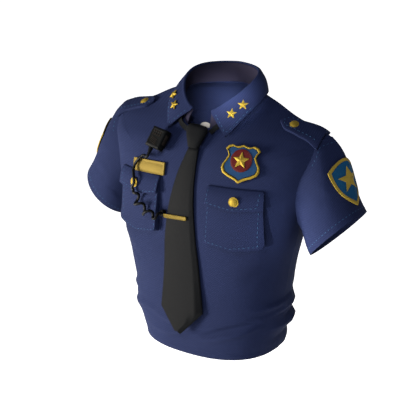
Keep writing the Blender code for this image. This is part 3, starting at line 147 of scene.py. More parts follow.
# Changes to the solids' places and sizes that follow the photograph
CLASP_TALLER = 1.5
POCKET_BUTTON_MOVE = Matrix.Translation((0, 0, 0.0016))
TOP_BUTTON_MOVE = (Matrix.Translation((-0.0012, -0.0034, 0))
                   @ Matrix.Diagonal((1.45, 0.85, 0.6, 1)))
# The fittings face away from the body and a little up
FACING_UP = 0.03

# Microphone, from its back at the middle of its case: it leans clockwise
MIC_LEANS = -8.0
CASE_BEVEL = 0.0045
CASE_RECESS = 0.0005
CASE_STEPS = ((0.0010, 0.0), (0.0004, -CASE_RECESS))
KEY_ROWS, KEY_COLUMNS = 2, 4
KEY_SIZE = (0.0036, 0.0036, 0.0012)
KEY_ACROSS, KEY_DOWN = 0.0056, 0.0060
KEY_LEFT, KEY_TOP, KEY_PROUD = 0.0006, 0.0112, 0.0004
KEY_STEPS = ((0.0007, 0.0), (0.0003, -0.0003))
SLATS = 4
SLAT_SIZE = (0.0175, 0.0013, 0.0009)
SLAT_LEFT, SLAT_TOP, SLAT_DOWN, SLAT_PROUD = 0.0008, 0.0022, 0.0031, 0.0003
SLAT_STEPS = ((0.0003, 0.0002),)
SLAT_TILT = Matrix.Rotation(math.radians(-14), 4, "Z")
TALK_KEY_SIZE = (0.0016, 0.0200, 0.0070)
TALK_KEY_STEPS = ((0.0012, 0.0005),)
TALK_KEY_PROUD, TALK_KEY_UP = 0.0004, 0.0015

# Cord: its way out of the case, then centres of its straight lead, its coil and its tail
CORD_RADIUS = 0.0028
CORD_STEP = 0.0022
CORD_EXIT = (-0.0823, -0.1185, -0.0962)
CORD_DOWN = Vector((-0.0456, -0.5314, -0.8459))
CORD_LEAD = [
    CORD_EXIT, (-0.0832, -0.1215, -0.1008), (-0.0874, -0.1206, -0.1040),
    (-0.0922, -0.1163, -0.1040), (-0.0974, -0.1124, -0.1037), (-0.1031, -0.1099, -0.1050),
    (-0.1122, -0.1116, -0.1133), (-0.1202, -0.1132, -0.1242), (-0.1217, -0.1167, -0.1336),
    (-0.1169, -0.1231, -0.1408), (-0.1102, -0.1303, -0.1475), (-0.1093, -0.1323, -0.1567),
    (-0.1129, -0.1324, -0.1637), (-0.1120, -0.1330, -0.1681)]
CORD_COIL = [
    (-0.1097, -0.1337, -0.1705), (-0.1000, -0.1369, -0.1850), (-0.0860, -0.1405, -0.1985),
    (-0.0695, -0.1430, -0.2055), (-0.0575, -0.1438, -0.2118), (-0.0500, -0.1432, -0.2148)]
CORD_TAIL = [
    (-0.0482, -0.1412, -0.2100), (-0.0472, -0.1366, -0.2053), (-0.0452, -0.1317, -0.2061)]
# Coil: radii across and outward, turns, points in a turn, how soon it opens, start and facing
COIL_ACROSS, COIL_OUT = 0.0086, 0.0064
COIL_TURNS = 3
COIL_POINTS = 18
COIL_OPENS = 2.2
COIL_START = math.radians(50)
COIL_FACES = Vector((-0.35, -0.93, 0))
COIL_AHEAD = 0.001
# Ribs of the strain relief as shares of its radius and length: narrowing, then rise
RELIEF_COLLAR = 0.12
RELIEF_STEPS = (
    (0.02, 0.10), (0.12, 0.0), (0.0, 0.06), (-0.09, 0.0), (0.02, 0.12), (0.12, 0.0), (0.0, 0.06),
    (-0.08, 0.0), (0.02, 0.12), (0.12, 0.0), (0.0, 0.06), (-0.06, 0.0), (0.06, 0.34))
RELIEF_LEAST = 0.001

# Studio: area lights with place, aim, size, watts and colour
FLOOR_HEIGHT, FLOOR_SIZE = -1.40, 40
AREA_LIGHTS = (
    ("key", (-1.87, -1.92, -0.42), (0.0, 0.0, -0.22), 1.0, 256.0, "#fff8ee"),
    ("fill", (0.5, -2.2, 1.6), (0.0, 0.0, -0.15), 1.0, 44.0, "#eef2ff"),
    ("back", (1.2, 2.4, 0.9), (0.0, 0.0, -0.15), 1.6, 8.0, "#ffffff"))
# Spots with aim, direction, watts, cone in degrees and softness of the cone's edge
SPOTS = (
    ("collar_spot", (-0.024, 0.060, -0.022), EYE_AHEAD, 700.0, 3.8, 0.7),
    ("sleeve_spot", (0.238, -0.055, -0.205), Vector((0.25, 0.95, 0.12)).normalized(),
     255.0, 7.6, 1.0))
SPOT_AWAY = 1.6
SPOT_RADIUS = 0.04
SKY_COLOUR, SKY_STRENGTH = "#f4f6ff", 0.25


def placed(right, up, out, place):
    """Matrix that stands a piece's own axes along these three, at a place."""
    return Matrix((
        (right.x, up.x, out.x, place.x), (right.y, up.y, out.y, place.y),
        (right.z, up.z, out.z, place.z), (0, 0, 0, 1)))


def make_camera():
    """The photograph's camera."""
    data = bpy.data.cameras.new("camera")
    data.lens = LENS
    data.sensor_width = SENSOR
    data.clip_start = NEAREST
    data.clip_end = FARTHEST
    camera = bpy.data.objects.new("camera", data)
    camera.matrix_world = placed(EYE_RIGHT, EYE_UP, -EYE_AHEAD, EYE)
    SCENE.collection.objects.link(camera)
    SCENE.camera = camera


def linear(code):
    """Linear colour from an sRGB hex code."""
    parts = [int(code[i:i + 2], 16) / 255 for i in (1, 3, 5)]
    return (*[c / 12.92 if c <= 0.04045 else ((c + 0.055) / 1.055) ** 2.4 for c in parts], 1.0)


def add(tree, kind, settings=(), links=()):
    """Add a node, set its properties or sockets, and link its sockets."""
    node = tree.nodes.new(kind)
    for key, value in dict(settings).items():
        if isinstance(key, int) or key in node.inputs:
            node.inputs[key].default_value = value
        else:
            setattr(node, key, value)
    for key, source in dict(links).items():
        tree.links.new(source, node.inputs[key])
    return node


def new_material(name):
    """Material with its surface shader and output, and the place in the object for textures."""
    made = bpy.data.materials.new(name)
    made.use_nodes = True
    tree = made.node_tree
    tree.nodes.clear()
    shader = add(tree, "ShaderNodeBsdfPrincipled")
    add(tree, "ShaderNodeOutputMaterial", links={"Surface": shader.outputs["BSDF"]})
    return made, tree, shader, add(tree, "ShaderNodeTexCoord").outputs["Object"]


def set_up(tree, shader, constants, links):
    """Give the shader its constant sockets and its linked ones."""
    for key, value in constants.items():
        shader.inputs[key].default_value = value
    for key, source in links.items():
        tree.links.new(source, shader.inputs[key])


# Cloth: clumps of fibre 4 mm long and clouds of dye 140 mm wide, as noise per metre; how far the
# fibres push a rib, how much the ribs and the dye change the colour, and how dark it starts
FIBRE_SCALE, DYE_SCALE = 260.0, 7.0
FIBRE_PUSH = 3.0
RIB_SHADE, DYE_SHADE, DARK_START = 0.22, 0.8, 0.4
RIB_STRENGTH = 0.55
# Gold plate has worn patches 11 mm wide, and a moulding has cloudy ones 22 mm wide: noise per
# metre, and its detail
WORN_PATCHES = (90.0, 4.0)
MOULDED_PATCHES = (45.0, 5.0)


def woven(name, light, dark, rib_mm, roughness, way=(1.0, 0.8, -1.25), depth_mm=0.12, sheen=0.04):
    """Twill-woven cloth: slanting ribs, drifting colour of dyed yarn, sheen of fibre ends."""
    made, tree, shader, place = new_material(name)
    along = add(tree, "ShaderNodeVectorMath",
                {"operation": "DOT_PRODUCT", 1: Vector(way).normalized()}, {0: place})
    turns = add(tree, "ShaderNodeMath",
                {"operation": "MULTIPLY", 1: 2 * math.pi / (rib_mm / 1000)},
                {0: along.outputs["Value"]})
    wobble = add(tree, "ShaderNodeTexNoise", {"Scale": FIBRE_SCALE, "Detail": 3.0},
                 {"Vector": place})
    pushed = add(tree, "ShaderNodeMath", {"operation": "MULTIPLY_ADD", 1: FIBRE_PUSH},
                 {0: wobble.outputs["Fac"], 2: turns.outputs["Value"]})
    rib = add(tree, "ShaderNodeMath", {"operation": "SINE"}, {0: pushed.outputs["Value"]})
    cloud = add(tree, "ShaderNodeTexNoise", {"Scale": DYE_SCALE, "Detail": 4.0},
                {"Vector": place})
    tone = add(tree, "ShaderNodeMath", {"operation": "MULTIPLY_ADD", 1: RIB_SHADE, 2: 0.5},
               {0: rib.outputs["Value"]})
    dyed = add(tree, "ShaderNodeMath", {"operation": "MULTIPLY_ADD", 1: DYE_SHADE},
               {0: cloud.outputs["Fac"], 2: tone.outputs["Value"]})
    share = add(tree, "ShaderNodeMath",
                {"operation": "SUBTRACT", 1: DARK_START, "use_clamp": True},
                {0: dyed.outputs["Value"]})
    colour = add(tree, "ShaderNodeMix",
                 {"data_type": "RGBA", 6: linear(dark), 7: linear(light)},
                 {0: share.outputs["Value"]})
    bump = add(tree, "ShaderNodeBump", {"Strength": RIB_STRENGTH, "Distance": depth_mm / 1000},
               {"Height": rib.outputs["Value"]})
    set_up(tree, shader, {
        "Roughness": roughness, "Sheen Weight": sheen, "Sheen Roughness": 0.5,
        "Sheen Tint": linear(light), "Specular IOR Level": 0.04,
    }, {"Base Color": colour.outputs[2], "Normal": bump.outputs["Normal"]})
    return made


def grained(name, light, dark, clouds, grain, rough, relief, constants):
    """Hard finish: colour and shine that drift in clouds, over a fine grain."""
    made, tree, shader, place = new_material(name)
    cloud = add(tree, "ShaderNodeTexNoise", {"Scale": clouds[0], "Detail": clouds[1]},
                {"Vector": place})
    speck = add(tree, "ShaderNodeTexNoise", {"Scale": 1000 / grain[0], "Detail": grain[1]},
                {"Vector": place})
    colour = add(tree, "ShaderNodeMix",
                 {"data_type": "RGBA", 6: linear(dark), 7: linear(light)},
                 {0: cloud.outputs["Fac"]})
    shine = add(tree, "ShaderNodeMapRange", {"To Min": rough[0], "To Max": rough[1]},
                {"Value": cloud.outputs["Fac"]})
    bump = add(tree, "ShaderNodeBump", {"Strength": relief[0], "Distance": relief[1] / 1000},
               {"Height": speck.outputs["Fac"]})
    set_up(tree, shader, constants, {
        "Base Color": colour.outputs[2], "Roughness": shine.outputs["Result"],
        "Normal": bump.outputs["Normal"]})
    return made


def gilt(name, light, dark, roughness, grain_mm, depth_mm, metal):
    """Gold plate on pressed brass: warm reflections, faint pitting, darker in worn patches."""
    return grained(
        name, light, dark, WORN_PATCHES, (grain_mm, 2.0),
        (roughness - 0.08, roughness + 0.12), (0.4, depth_mm),
        {"Metallic": metal, "Specular IOR Level": 0.15, "Specular Tint": linear(light)})


def moulded(name, light, dark, roughness, grain_mm, depth_mm, coat=0.0):
    """Moulded plastic, rubber or enamel: even colour, fine grain and slightly uneven shine."""
    return grained(
        name, light, dark, MOULDED_PATCHES, (grain_mm, 1.0),
        (roughness - 0.06, roughness + 0.08), (0.5, depth_mm),
        {"Specular IOR Level": 0.06, "Coat Weight": coat, "Coat Roughness": 0.08})


def paper(name, light, dark, glow):
    """Backdrop paper, rolled out flat: matt white, glowing a little as if lit from behind."""
    made, tree, shader, place = new_material(name)
    cloud = add(tree, "ShaderNodeTexNoise", {"Scale": 0.4, "Detail": 2.0}, {"Vector": place})
    colour = add(tree, "ShaderNodeMix",
                 {"data_type": "RGBA", 6: linear(dark), 7: linear(light)},
                 {0: cloud.outputs["Fac"]})
    set_up(tree, shader, {
        "Roughness": 0.9, "Emission Color": linear(light), "Emission Strength": glow,
    }, {"Base Color": colour.outputs[2]})
    return made


# Poly-cotton shirting in navy twill; its real ribs are half a millimetre apart and are drawn
# coarser so that they show.
NAVY_TWILL = woven("navy_poly_cotton_twill", "#181f39", "#101529", 3.2, 0.85)
# Facing of the collar's stand, inside the neck: a closer weave, its colour darkened to paint the
# shade that falls inside the collar.
STAND_PAINTED_SHADE_TWILL = woven("collar_stand_twill_painted_shade", "#211f2c", "#181622", 1.6, 0.85, sheen=0.02)
# Woven polyester tie cloth, charcoal with a fine rib and a dull shine.
TIE_WEAVE = woven("charcoal_polyester_tie_weave", "#0b0c0e", "#08090a", 2.2, 0.7,
                  (1.0, 0.3, 1.0), 0.08, 0.02)
# Polyester sewing thread in muted teal blue, with the light catching its twist.
THREAD = woven("teal_blue_polyester_thread", "#2a4460", "#1f354d", 0.8, 0.6, sheen=0.02)
# Gold rayon embroidery in satin stitch: rows of bright thread lie side by side.
SATIN_GOLD = woven("gold_rayon_satin_stitch", "#85712c", "#62521d", 1.3, 0.6,
                   (0.2, 1.0, 0.5), 0.25, 0.05)
# Blue embroidery twill of the sleeve patch.
PATCH_TWILL = woven("blue_embroidery_twill", "#113f5e", "#0a2c45", 1.4, 0.75, (0.3, 1.0, 1.0), 0.2)
# Badge, stars and buttons: gold plate on pressed brass, lightly polished.
GILT = gilt("gold_plated_brass", "#84702a", "#67561c", 0.55, 0.9, 0.05, 0.45)
# Name plate and tie clasp: brushed gold plate, duller.
GILT_BRUSHED = gilt("brushed_gold_plate", "#605226", "#50431c", 0.6, 1.6, 0.10, 0.35)
# Hard enamel, fired and stoned flat: deep colour with a satin face.
BLUE_ENAMEL = moulded("blue_hard_enamel", "#0f2c48", "#0b2440", 0.5, 2.0, 0.02, 0.02)
RED_ENAMEL = moulded("red_hard_enamel", "#3e0909", "#300606", 0.5, 2.0, 0.02, 0.02)
# Moulded ABS of the microphone: black with a spark-eroded grain.
BLACK_ABS = moulded("black_spark_textured_abs", "#040506", "#020303", 0.6, 0.9, 0.12)
# Silicone rubber keys and speaker slats: brownish black, matt.
KEY_RUBBER = moulded("black_silicone_rubber", "#1a1613", "#120f0d", 0.7, 0.8, 0.05)
# Polyurethane jacket of the microphone cord: black, with a satin shine.
CORD_JACKET = moulded("black_polyurethane_jacket", "#08090a", "#050506", 0.4, 1.2, 0.05)
# Polyester shirt button: cream, polished.
CREAM_BUTTON = moulded("cream_polyester_button", "#9a968d", "#8c887e", 0.35, 1.5, 0.02, 0.1)
# Seamless studio paper.
PAPER = paper("white_backdrop_paper", "#ffffff", "#f6f6f6", 0.9)


def clear_selection():
    """Leave object mode with nothing selected, ready for a new primitive."""
    if bpy.context.object and bpy.context.object.mode != "OBJECT":
        bpy.ops.object.mode_set(mode="OBJECT")
    bpy.ops.object.select_all(action="DESELECT")


def only(piece):
    """Select this piece and nothing else."""
    clear_selection()
    piece.select_set(True)
    bpy.context.view_layer.objects.active = piece


def settle(piece, finish, nodes=()):
    """Bake the piece's place into its mesh, give it its finish, and let it stand for its solids."""
    only(piece)
    bpy.ops.object.transform_apply(location=True, rotation=True, scale=True)
    piece.data.materials.clear()
    piece.data.materials.append(finish)
    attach(piece, "root")
    if nodes:
        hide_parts(*nodes)
    return piece


def apply_modifier(piece, name, kind, **settings):
    """Add a modifier with its settings and apply it."""
    modifier = piece.modifiers.new(name, kind)
    for key, value in settings.items():
        setattr(modifier, key, value)
    only(piece)
    bpy.ops.object.modifier_apply(modifier=name)


def shade(degrees):
    """Shade the active piece smooth, except across edges bent by more than this."""
    bpy.ops.object.shade_smooth_by_angle(angle=math.radians(degrees))


def rounded(piece, width, segments, degrees, shading=None):
    """Leave edit mode, round the piece's edges and shade it if asked."""
    clear_selection()
    apply_modifier(piece, "round", "BEVEL", width=width, segments=segments,
                   limit_method="ANGLE", angle_limit=math.radians(degrees))
    if shading:
        shade(shading)


def from_solid(node, name):
    """Copy of a solid's skin, with its points merged and its square faces back."""
    piece = bpy.data.objects.new(name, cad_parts[node].data.copy())
    SCENE.collection.objects.link(piece)
    only(piece)
    bpy.ops.object.mode_set(mode="EDIT")
    bpy.ops.mesh.select_all(action="SELECT")
    bpy.ops.mesh.remove_doubles(threshold=MERGE_WITHIN)
    bpy.ops.mesh.tris_convert_to_quads(face_threshold=SQUARE_BEND, shape_threshold=SQUARE_SKEW)
    bpy.ops.object.mode_set(mode="OBJECT")
    return piece


def solid_points(node):
    """Points of a solid, one in each row."""
    return np.array([vertex.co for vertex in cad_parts[node].data.vertices])


def crease_rims(piece, degrees):
    """Crease the cut edges and the waist folds, so that smoothing keeps them."""
    shape = bmesh.new()
    shape.from_mesh(piece.data)
    layers = shape.edges.layers.float
    layer = layers.get("crease_edge") or layers.new("crease_edge")
    for edge in shape.edges:
        if len(edge.link_faces) != 2:
            continue
        turn = edge.calc_face_angle(0)
        if turn > math.radians(degrees):
            edge[layer] = 1.0
        elif turn > math.radians(WAIST_DEGREES) and edge.verts[0].co.z < WAIST_TOP:
            edge[layer] = WAIST_SHARPNESS
    shape.to_mesh(piece.data)
    shape.free()


def soften(piece, levels, degrees):
    """Smooth a cloth piece without losing its cut edges."""
    crease_rims(piece, degrees)
    apply_modifier(piece, "soft", "SUBSURF", levels=levels, render_levels=levels)
    shade(CLOTH_SHADING)


def close_seam(piece, tree, reach=SEAM_REACH):
    """Bring the piece's cut edge up to the cloth that it is sewn to."""
    for vertex in piece.data.vertices:
        near = tree.find_nearest(vertex.co, reach)[0]
        if near is not None:
            vertex.co = near


# Creases pressed and pulled into the cloth: start, end, height and half width; a negative height
# is a valley with a ridge below it. The first are the body's, front and back.
BODY_CREASES = [
    ((0.158, -0.070, -0.252), (0.098, -0.115, -0.305), 0.0016, 0.010),
    ((0.155, -0.070, -0.262), (0.105, -0.112, -0.330), 0.0013, 0.009),
    ((-0.158, -0.070, -0.252), (-0.098, -0.115, -0.310), 0.0015, 0.010),
    ((-0.155, -0.066, -0.270), (-0.110, -0.110, -0.340), 0.0012, 0.009),
    ((0.038, -0.122, -0.446), (0.142, -0.070, -0.402), -0.0062, 0.0065),
    ((-0.055, -0.116, -0.461), (0.034, -0.122, -0.436), 0.0030, 0.005),
    ((-0.075, -0.112, -0.425), (0.000, -0.122, -0.430), 0.0018, 0.006),
    ((-0.130, -0.070, -0.405), (-0.060, -0.116, -0.418), 0.0018, 0.007),
    ((0.120, -0.085, -0.385), (0.160, -0.020, -0.370), 0.0018, 0.006),
    ((-0.120, -0.085, -0.380), (-0.160, -0.020, -0.392), 0.0018, 0.006),
    ((-0.100, -0.095, -0.452), (-0.030, -0.119, -0.458), 0.0012, 0.006),
    ((0.150, 0.060, -0.235), (0.070, 0.094, -0.300), 0.0022, 0.011),
    ((-0.150, 0.060, -0.235), (-0.070, 0.094, -0.310), 0.0022, 0.011),
    ((0.155, 0.050, -0.300), (0.060, 0.092, -0.350), 0.0020, 0.010),
    ((-0.155, 0.050, -0.290), (-0.050, 0.092, -0.345), 0.0020, 0.010),
    ((0.130, 0.070, -0.392), (-0.020, 0.091, -0.402), 0.0026, 0.009),
    ((-0.130, 0.070, -0.380), (0.010, 0.091, -0.372), 0.0024, 0.009),
    ((0.120, 0.074, -0.428), (0.020, 0.091, -0.436), -0.0020, 0.008),
    ((-0.110, 0.078, -0.440), (-0.010, 0.091, -0.430), 0.0020, 0.008),
    ((0.185, 0.040, -0.150), (0.120, 0.095, -0.110), 0.0018, 0.010),
    ((-0.185, 0.040, -0.150), (-0.120, 0.095, -0.110), 0.0018, 0.010),
    ((0.000, 0.102, -0.060), (0.000, 0.098, -0.180), 0.0010, 0.012),
]
# Those of the left sleeve; the right one has their mirror image.
SLEEVE_CREASES = [
    ((0.222, -0.050, -0.190), (0.262, -0.058, -0.150), 0.0022, 0.008),
    ((0.214, -0.040, -0.222), (0.252, -0.056, -0.196), 0.0018, 0.007),
    ((0.235, -0.050, -0.120), (0.275, -0.052, -0.125), 0.0014, 0.009),
    ((0.222, 0.045, -0.190), (0.265, 0.056, -0.150), 0.0022, 0.008),
    ((0.216, 0.036, -0.225), (0.252, 0.052, -0.200), 0.0018, 0.007),
    ((0.240, 0.045, -0.110), (0.278, 0.050, -0.120), 0.0014, 0.009),
    ((0.208, -0.012, -0.228), (0.226, 0.004, -0.255), 0.0020, 0.008),
]


def unrolled(points, start):
    """Distance round the body from a start point, and height."""
    turn = np.arctan2(points[:, 0], -points[:, 1]) - math.atan2(start[0], -start[1])
    around = BODY_RADIUS * ((turn + math.pi) % (2 * math.pi) - math.pi)
    return np.stack([around, points[:, 2]], axis=1)


def press_creases(piece, creases, mirror, unroll):
    """Raise soft ridges with a valley below each, both skins of the cloth together."""
    points = np.empty(len(piece.data.vertices) * 3)
    piece.data.vertices.foreach_get("co", points)
    points = points.reshape(-1, 3)
    out = points.copy()
    out[:, 2] = 0
    out /= np.maximum(np.linalg.norm(out, axis=1), 1e-6)[:, None]
    moved = points.copy()
    for start, end, height, half in creases:
        a = np.array(start, float)
        b = np.array(end, float)
        if mirror:
            a[0] *= -1
            b[0] *= -1
        spread = points
        if unroll:
            spread = unrolled(points, a)
            b = unrolled(b[None], a)[0]
            a = unrolled(a[None], a)[0]
        run = b - a
        share = np.clip((spread - a) @ run / (run @ run), 0, 1)
        offset = spread - (a + share[:, None] * run)
        side = np.sign(offset[:, -1]) * np.linalg.norm(offset, axis=1)
        fade = np.sin(np.pi * share) ** CREASE_FADE
        valley = np.exp(-((side + VALLEY_OFFSET * half) / (VALLEY_WIDTH * half)) ** 2)
        ridge = np.exp(-(side / half) ** 2) - VALLEY_DEPTH * valley
        moved += (height * fade * ridge)[:, None] * out
    piece.data.vertices.foreach_set("co", moved.reshape(-1))
    piece.data.update()


def cloth_piece(node, name, finish, levels=2, degrees=RIM_DEGREES, creases=(), mirror=False,
                unroll=False):
    """One cut piece of cloth on its solid's form."""
    piece = from_solid(node, name)
    soften(piece, levels, degrees)
    if creases:
        press_creases(piece, creases, mirror, unroll)
    return settle(piece, finish, [node])


def tree_of(*pieces):
    """Search tree over the faces of pieces."""
    points = []
    faces = []
    for piece in pieces:
        shift = len(points)
        points.extend(vertex.co.copy() for vertex in piece.data.vertices)
        faces.extend(tuple(shift + corner for corner in face.vertices)
                     for face in piece.data.polygons)
    return BVHTree.FromPolygons(points, faces)


def walk(points, closed=False, parts=16):
    """Smooth line through the points, as fine points and the distance walked at each."""
    points = [Vector(point) for point in points]
    if closed:
        points = points + [points[0]]
    first = points[-2] if closed else 2 * points[0] - points[1]
    final = points[1] if closed else 2 * points[-1] - points[-2]
    last = len(points) - 1
    fine = []
    for i in range(last):
        before = points[i - 1] if i else first
        after = points[i + 2] if i + 2 <= last else final
        a, b = points[i], points[i + 1]
        span = (b - a).length
        one = (b - before) / max((b - a).length + (a - before).length, 1e-9) * span
        two = (after - a) / max((after - b).length + (b - a).length, 1e-9) * span
        for part in range(parts):
            t = part / parts
            fine.append((1 + 2 * t) * (1 - t) ** 2 * a + t * t * (3 - 2 * t) * b
                        + t * (1 - t) ** 2 * one + t * t * (t - 1) * two)
    fine.append(points[-1])
    far = [0.0]
    for a, b in zip(fine, fine[1:]):
        far.append(far[-1] + (b - a).length)
    return fine, far


def at_distance(fine, far, goal):
    """Point of a walked line at a distance along it."""
    return Vector([float(np.interp(goal, far, [point[k] for point in fine])) for k in range(3)])


def evenly(centres, step):
    """Points along a smooth line, about a step apart, with both its ends."""
    fine, far = walk(centres)
    count = int(far[-1] / step)
    return [at_distance(fine, far, far[-1] * i / count) for i in range(count + 1)]


def stitch_shape():
    """Points and faces of one stitch along Z, narrowing to its ends."""
    clear_selection()
    bpy.ops.mesh.primitive_cylinder_add(vertices=6, radius=STITCH_RADIUS, depth=STITCH_LENGTH)
    pattern = bpy.context.object
    bpy.ops.object.mode_set(mode="EDIT")
    bpy.ops.mesh.select_all(action="SELECT")
    bpy.ops.mesh.bisect(plane_co=(0, 0, 0), plane_no=(0, 0, 1))
    bpy.ops.object.mode_set(mode="OBJECT")
    points = np.array([vertex.co for vertex in pattern.data.vertices])
    faces = [tuple(face.vertices) for face in pattern.data.polygons]
    bpy.data.objects.remove(pattern)
    reach = np.abs(points[:, 2]) / (STITCH_LENGTH / 2)
    points[:, :2] *= (1 - STITCH_NARROWS * reach)[:, None]
    return points, faces


def stitch_row(name, lines, tree):
    """Topstitching: short round-ended stitches laid along lines on the cloth."""
    base, base_faces = stitch_shape()
    half = STITCH_LENGTH / 2
    points = []
    faces = []
    for line, closed in lines:
        fine, far = walk(line, closed)
        count = max(1, int(far[-1] / (STITCH_LENGTH + STITCH_GAP)))
        step = far[-1] / count
        for i in range(count):
            here = (i + 0.5) * step
            behind, middle, ahead = (
                tree.find_nearest(at_distance(fine, far, goal))
                for goal in (max(here - half, 0), here, min(here + half, far[-1])))
            if any(spot[0] is None for spot in (behind, middle, ahead)):
                continue
            facing = middle[1]
            along = (ahead[0] - behind[0]).normalized()
            across = facing.cross(along).normalized()
            shift = len(points)
            for x, y, z in base:
                share = abs(z) / half
                low = middle[0].lerp(ahead[0] if z > 0 else behind[0], share)
                sink = STITCH_PROUD - STITCH_DIVES * share ** 3
                points.append(low + across * x + facing * (y + sink))
            faces.extend(tuple(shift + corner for corner in face) for face in base_faces)
    data = bpy.data.meshes.new(name)
    data.from_pydata(points, [], faces)
    piece = bpy.data.objects.new(name, data)
    SCENE.collection.objects.link(piece)
    only(piece)
    shade(STITCH_SHADING)
    settle(piece, THREAD)


def dress(node, finish):
    """Give a solid that is right as it stands its real finish."""
    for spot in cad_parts[node].material_slots:
        spot.material = finish


def seat(node, long_axis=False):
    """Matrix at the middle of a flat fitting's back, facing out, and its width, height, depth."""
    points = solid_points(node)
    middle = points.mean(0)
    axes = np.linalg.svd(points - middle)[2]
    out = Vector(axes[2])
    if out.dot(Vector((middle[0], middle[1], FACING_UP))) < 0:
        out = -out
    right = Vector((0, 0, 1)).cross(out).normalized()
    if long_axis:
        right = Vector(axes[0])
        right = right if right.x > 0 else -right
    up = out.cross(right)
    sizes = []
    place = Vector((0, 0, 0))
    for axis in (right, up, out):
        along = points @ np.array(axis)
        low, high = float(along.min()), float(along.max())
        sizes.append(high - low)
        place += axis * (low if axis is out else (high + low) / 2)
    return placed(right, up, out, place), *sizes


def pick(piece, axis=2, least=0.9):
    """In edit mode, select the faces that look along an axis, by at least this share."""
    shape = bmesh.from_edit_mesh(piece.data)
    for face in shape.faces:
        face.select_set(face.normal[axis] > least)
    shape.select_flush_mode()
    bmesh.update_edit_mesh(piece.data)


def step_in(steps, way=(0, 0, 1)):
    """Inset the selected face and raise the new inner one, step by step."""
    for inset, rise in steps:
        bpy.ops.mesh.inset(thickness=inset)
        bpy.ops.transform.translate(value=[rise * part for part in way])


def started(name):
    """Name the primitive just added and open it in edit mode by faces."""
    piece = bpy.context.object
    piece.name = name
    piece.data.name = name
    bpy.ops.object.mode_set(mode="EDIT")
    bpy.ops.mesh.select_mode(type="FACE")
    return piece


def box(name, middle, size):
    """Box, opened in edit mode by faces."""
    clear_selection()
    bpy.ops.mesh.primitive_cube_add(size=1, location=middle, scale=size)
    bpy.ops.object.transform_apply(location=True, rotation=False, scale=True)
    return started(name)


def disc(name, vertices, radius, depth):
    """Upright cylinder on its own origin, opened in edit mode with its top picked."""
    clear_selection()
    bpy.ops.mesh.primitive_cylinder_add(vertices=vertices, radius=radius, depth=depth,
                                        location=(0, 0, depth / 2))
    piece = started(name)
    pick(piece)
    return piece


def button(name, node, finish, move=Matrix.Identity(4)):
    """Pressed shank button: rolled rim, fine groove and a shallow dome."""
    place, width, _, deep = seat(node)
    half = width / 2
    piece = disc(name, 32, half, BUTTON_RIM * deep)
    step_in((inset * half, rise * deep) for inset, rise in BUTTON_STEPS)
    bpy.ops.object.mode_set(mode="OBJECT")
    apply_modifier(piece, "soft", "SUBSURF", levels=1, render_levels=1)
    shade(50)
    piece.matrix_world = place @ move
    settle(piece, finish, [node])


def pressed_bar(name, node, steps, rounding, taller=1.0):
    """Flat gilt bar with pressed steps in its face and rounded edges."""
    place, width, tall, deep = seat(node, long_axis=True)
    piece = box(name, (0, 0, deep / 2), (width, taller * tall, deep))
    pick(piece)
    step_in(steps)
    rounded(piece, *rounding)
    piece.matrix_world = place
    settle(piece, GILT_BRUSHED, [node])


def make_cord():
    """Microphone cord: straight lead, open coil and tail into the keeper, in one run."""
    points = evenly(CORD_LEAD + CORD_COIL[:1], CORD_STEP)[:-1]
    points += helix(CORD_COIL)
    points += evenly(CORD_COIL[-1:] + CORD_TAIL, CORD_STEP)[1:]
    data = bpy.data.curves.new("mic_cord", "CURVE")
    data.dimensions = "3D"
    data.bevel_depth = CORD_RADIUS
    data.bevel_resolution = 4
    data.use_fill_caps = True
    spline = data.splines.new("POLY")
    spline.points.add(len(points) - 1)
    for spot, point in zip(spline.points, points):
        spot.co = (*point, 1)
    spline.use_smooth = True
    data.materials.append(CORD_JACKET)
    cord = bpy.data.objects.new("mic_cord", data)
    SCENE.collection.objects.link(cord)
    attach(cord, "root")
    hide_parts("mic_cord_lead", "mic_cord_coil", "mic_cord_tail")


def helix(centres):
    """Points of the coil round a line of centres, opening out of it and closing into it."""
    fine, far = walk(centres)
    count = COIL_TURNS * COIL_POINTS
    points = []
    for i in range(count + 1):
        share = i / count
        goal = share * far[-1]
        ahead = at_distance(fine, far, min(goal + COIL_AHEAD, far[-1]))
        behind = at_distance(fine, far, max(goal - COIL_AHEAD, 0))
        along = (ahead - behind).normalized()
        across = along.cross(COIL_FACES).normalized()
        out = across.cross(along)
        ease = min(1.0, share * COIL_TURNS * COIL_OPENS, (1 - share) * COIL_TURNS * COIL_OPENS)
        ease *= ease * (3 - 2 * ease)
        turn = COIL_START + 2 * math.pi * COIL_TURNS * share
        loop = COIL_ACROSS * math.cos(turn) * across + COIL_OUT * math.sin(turn) * out
        points.append(at_distance(fine, far, goal) + ease * loop)
    return points


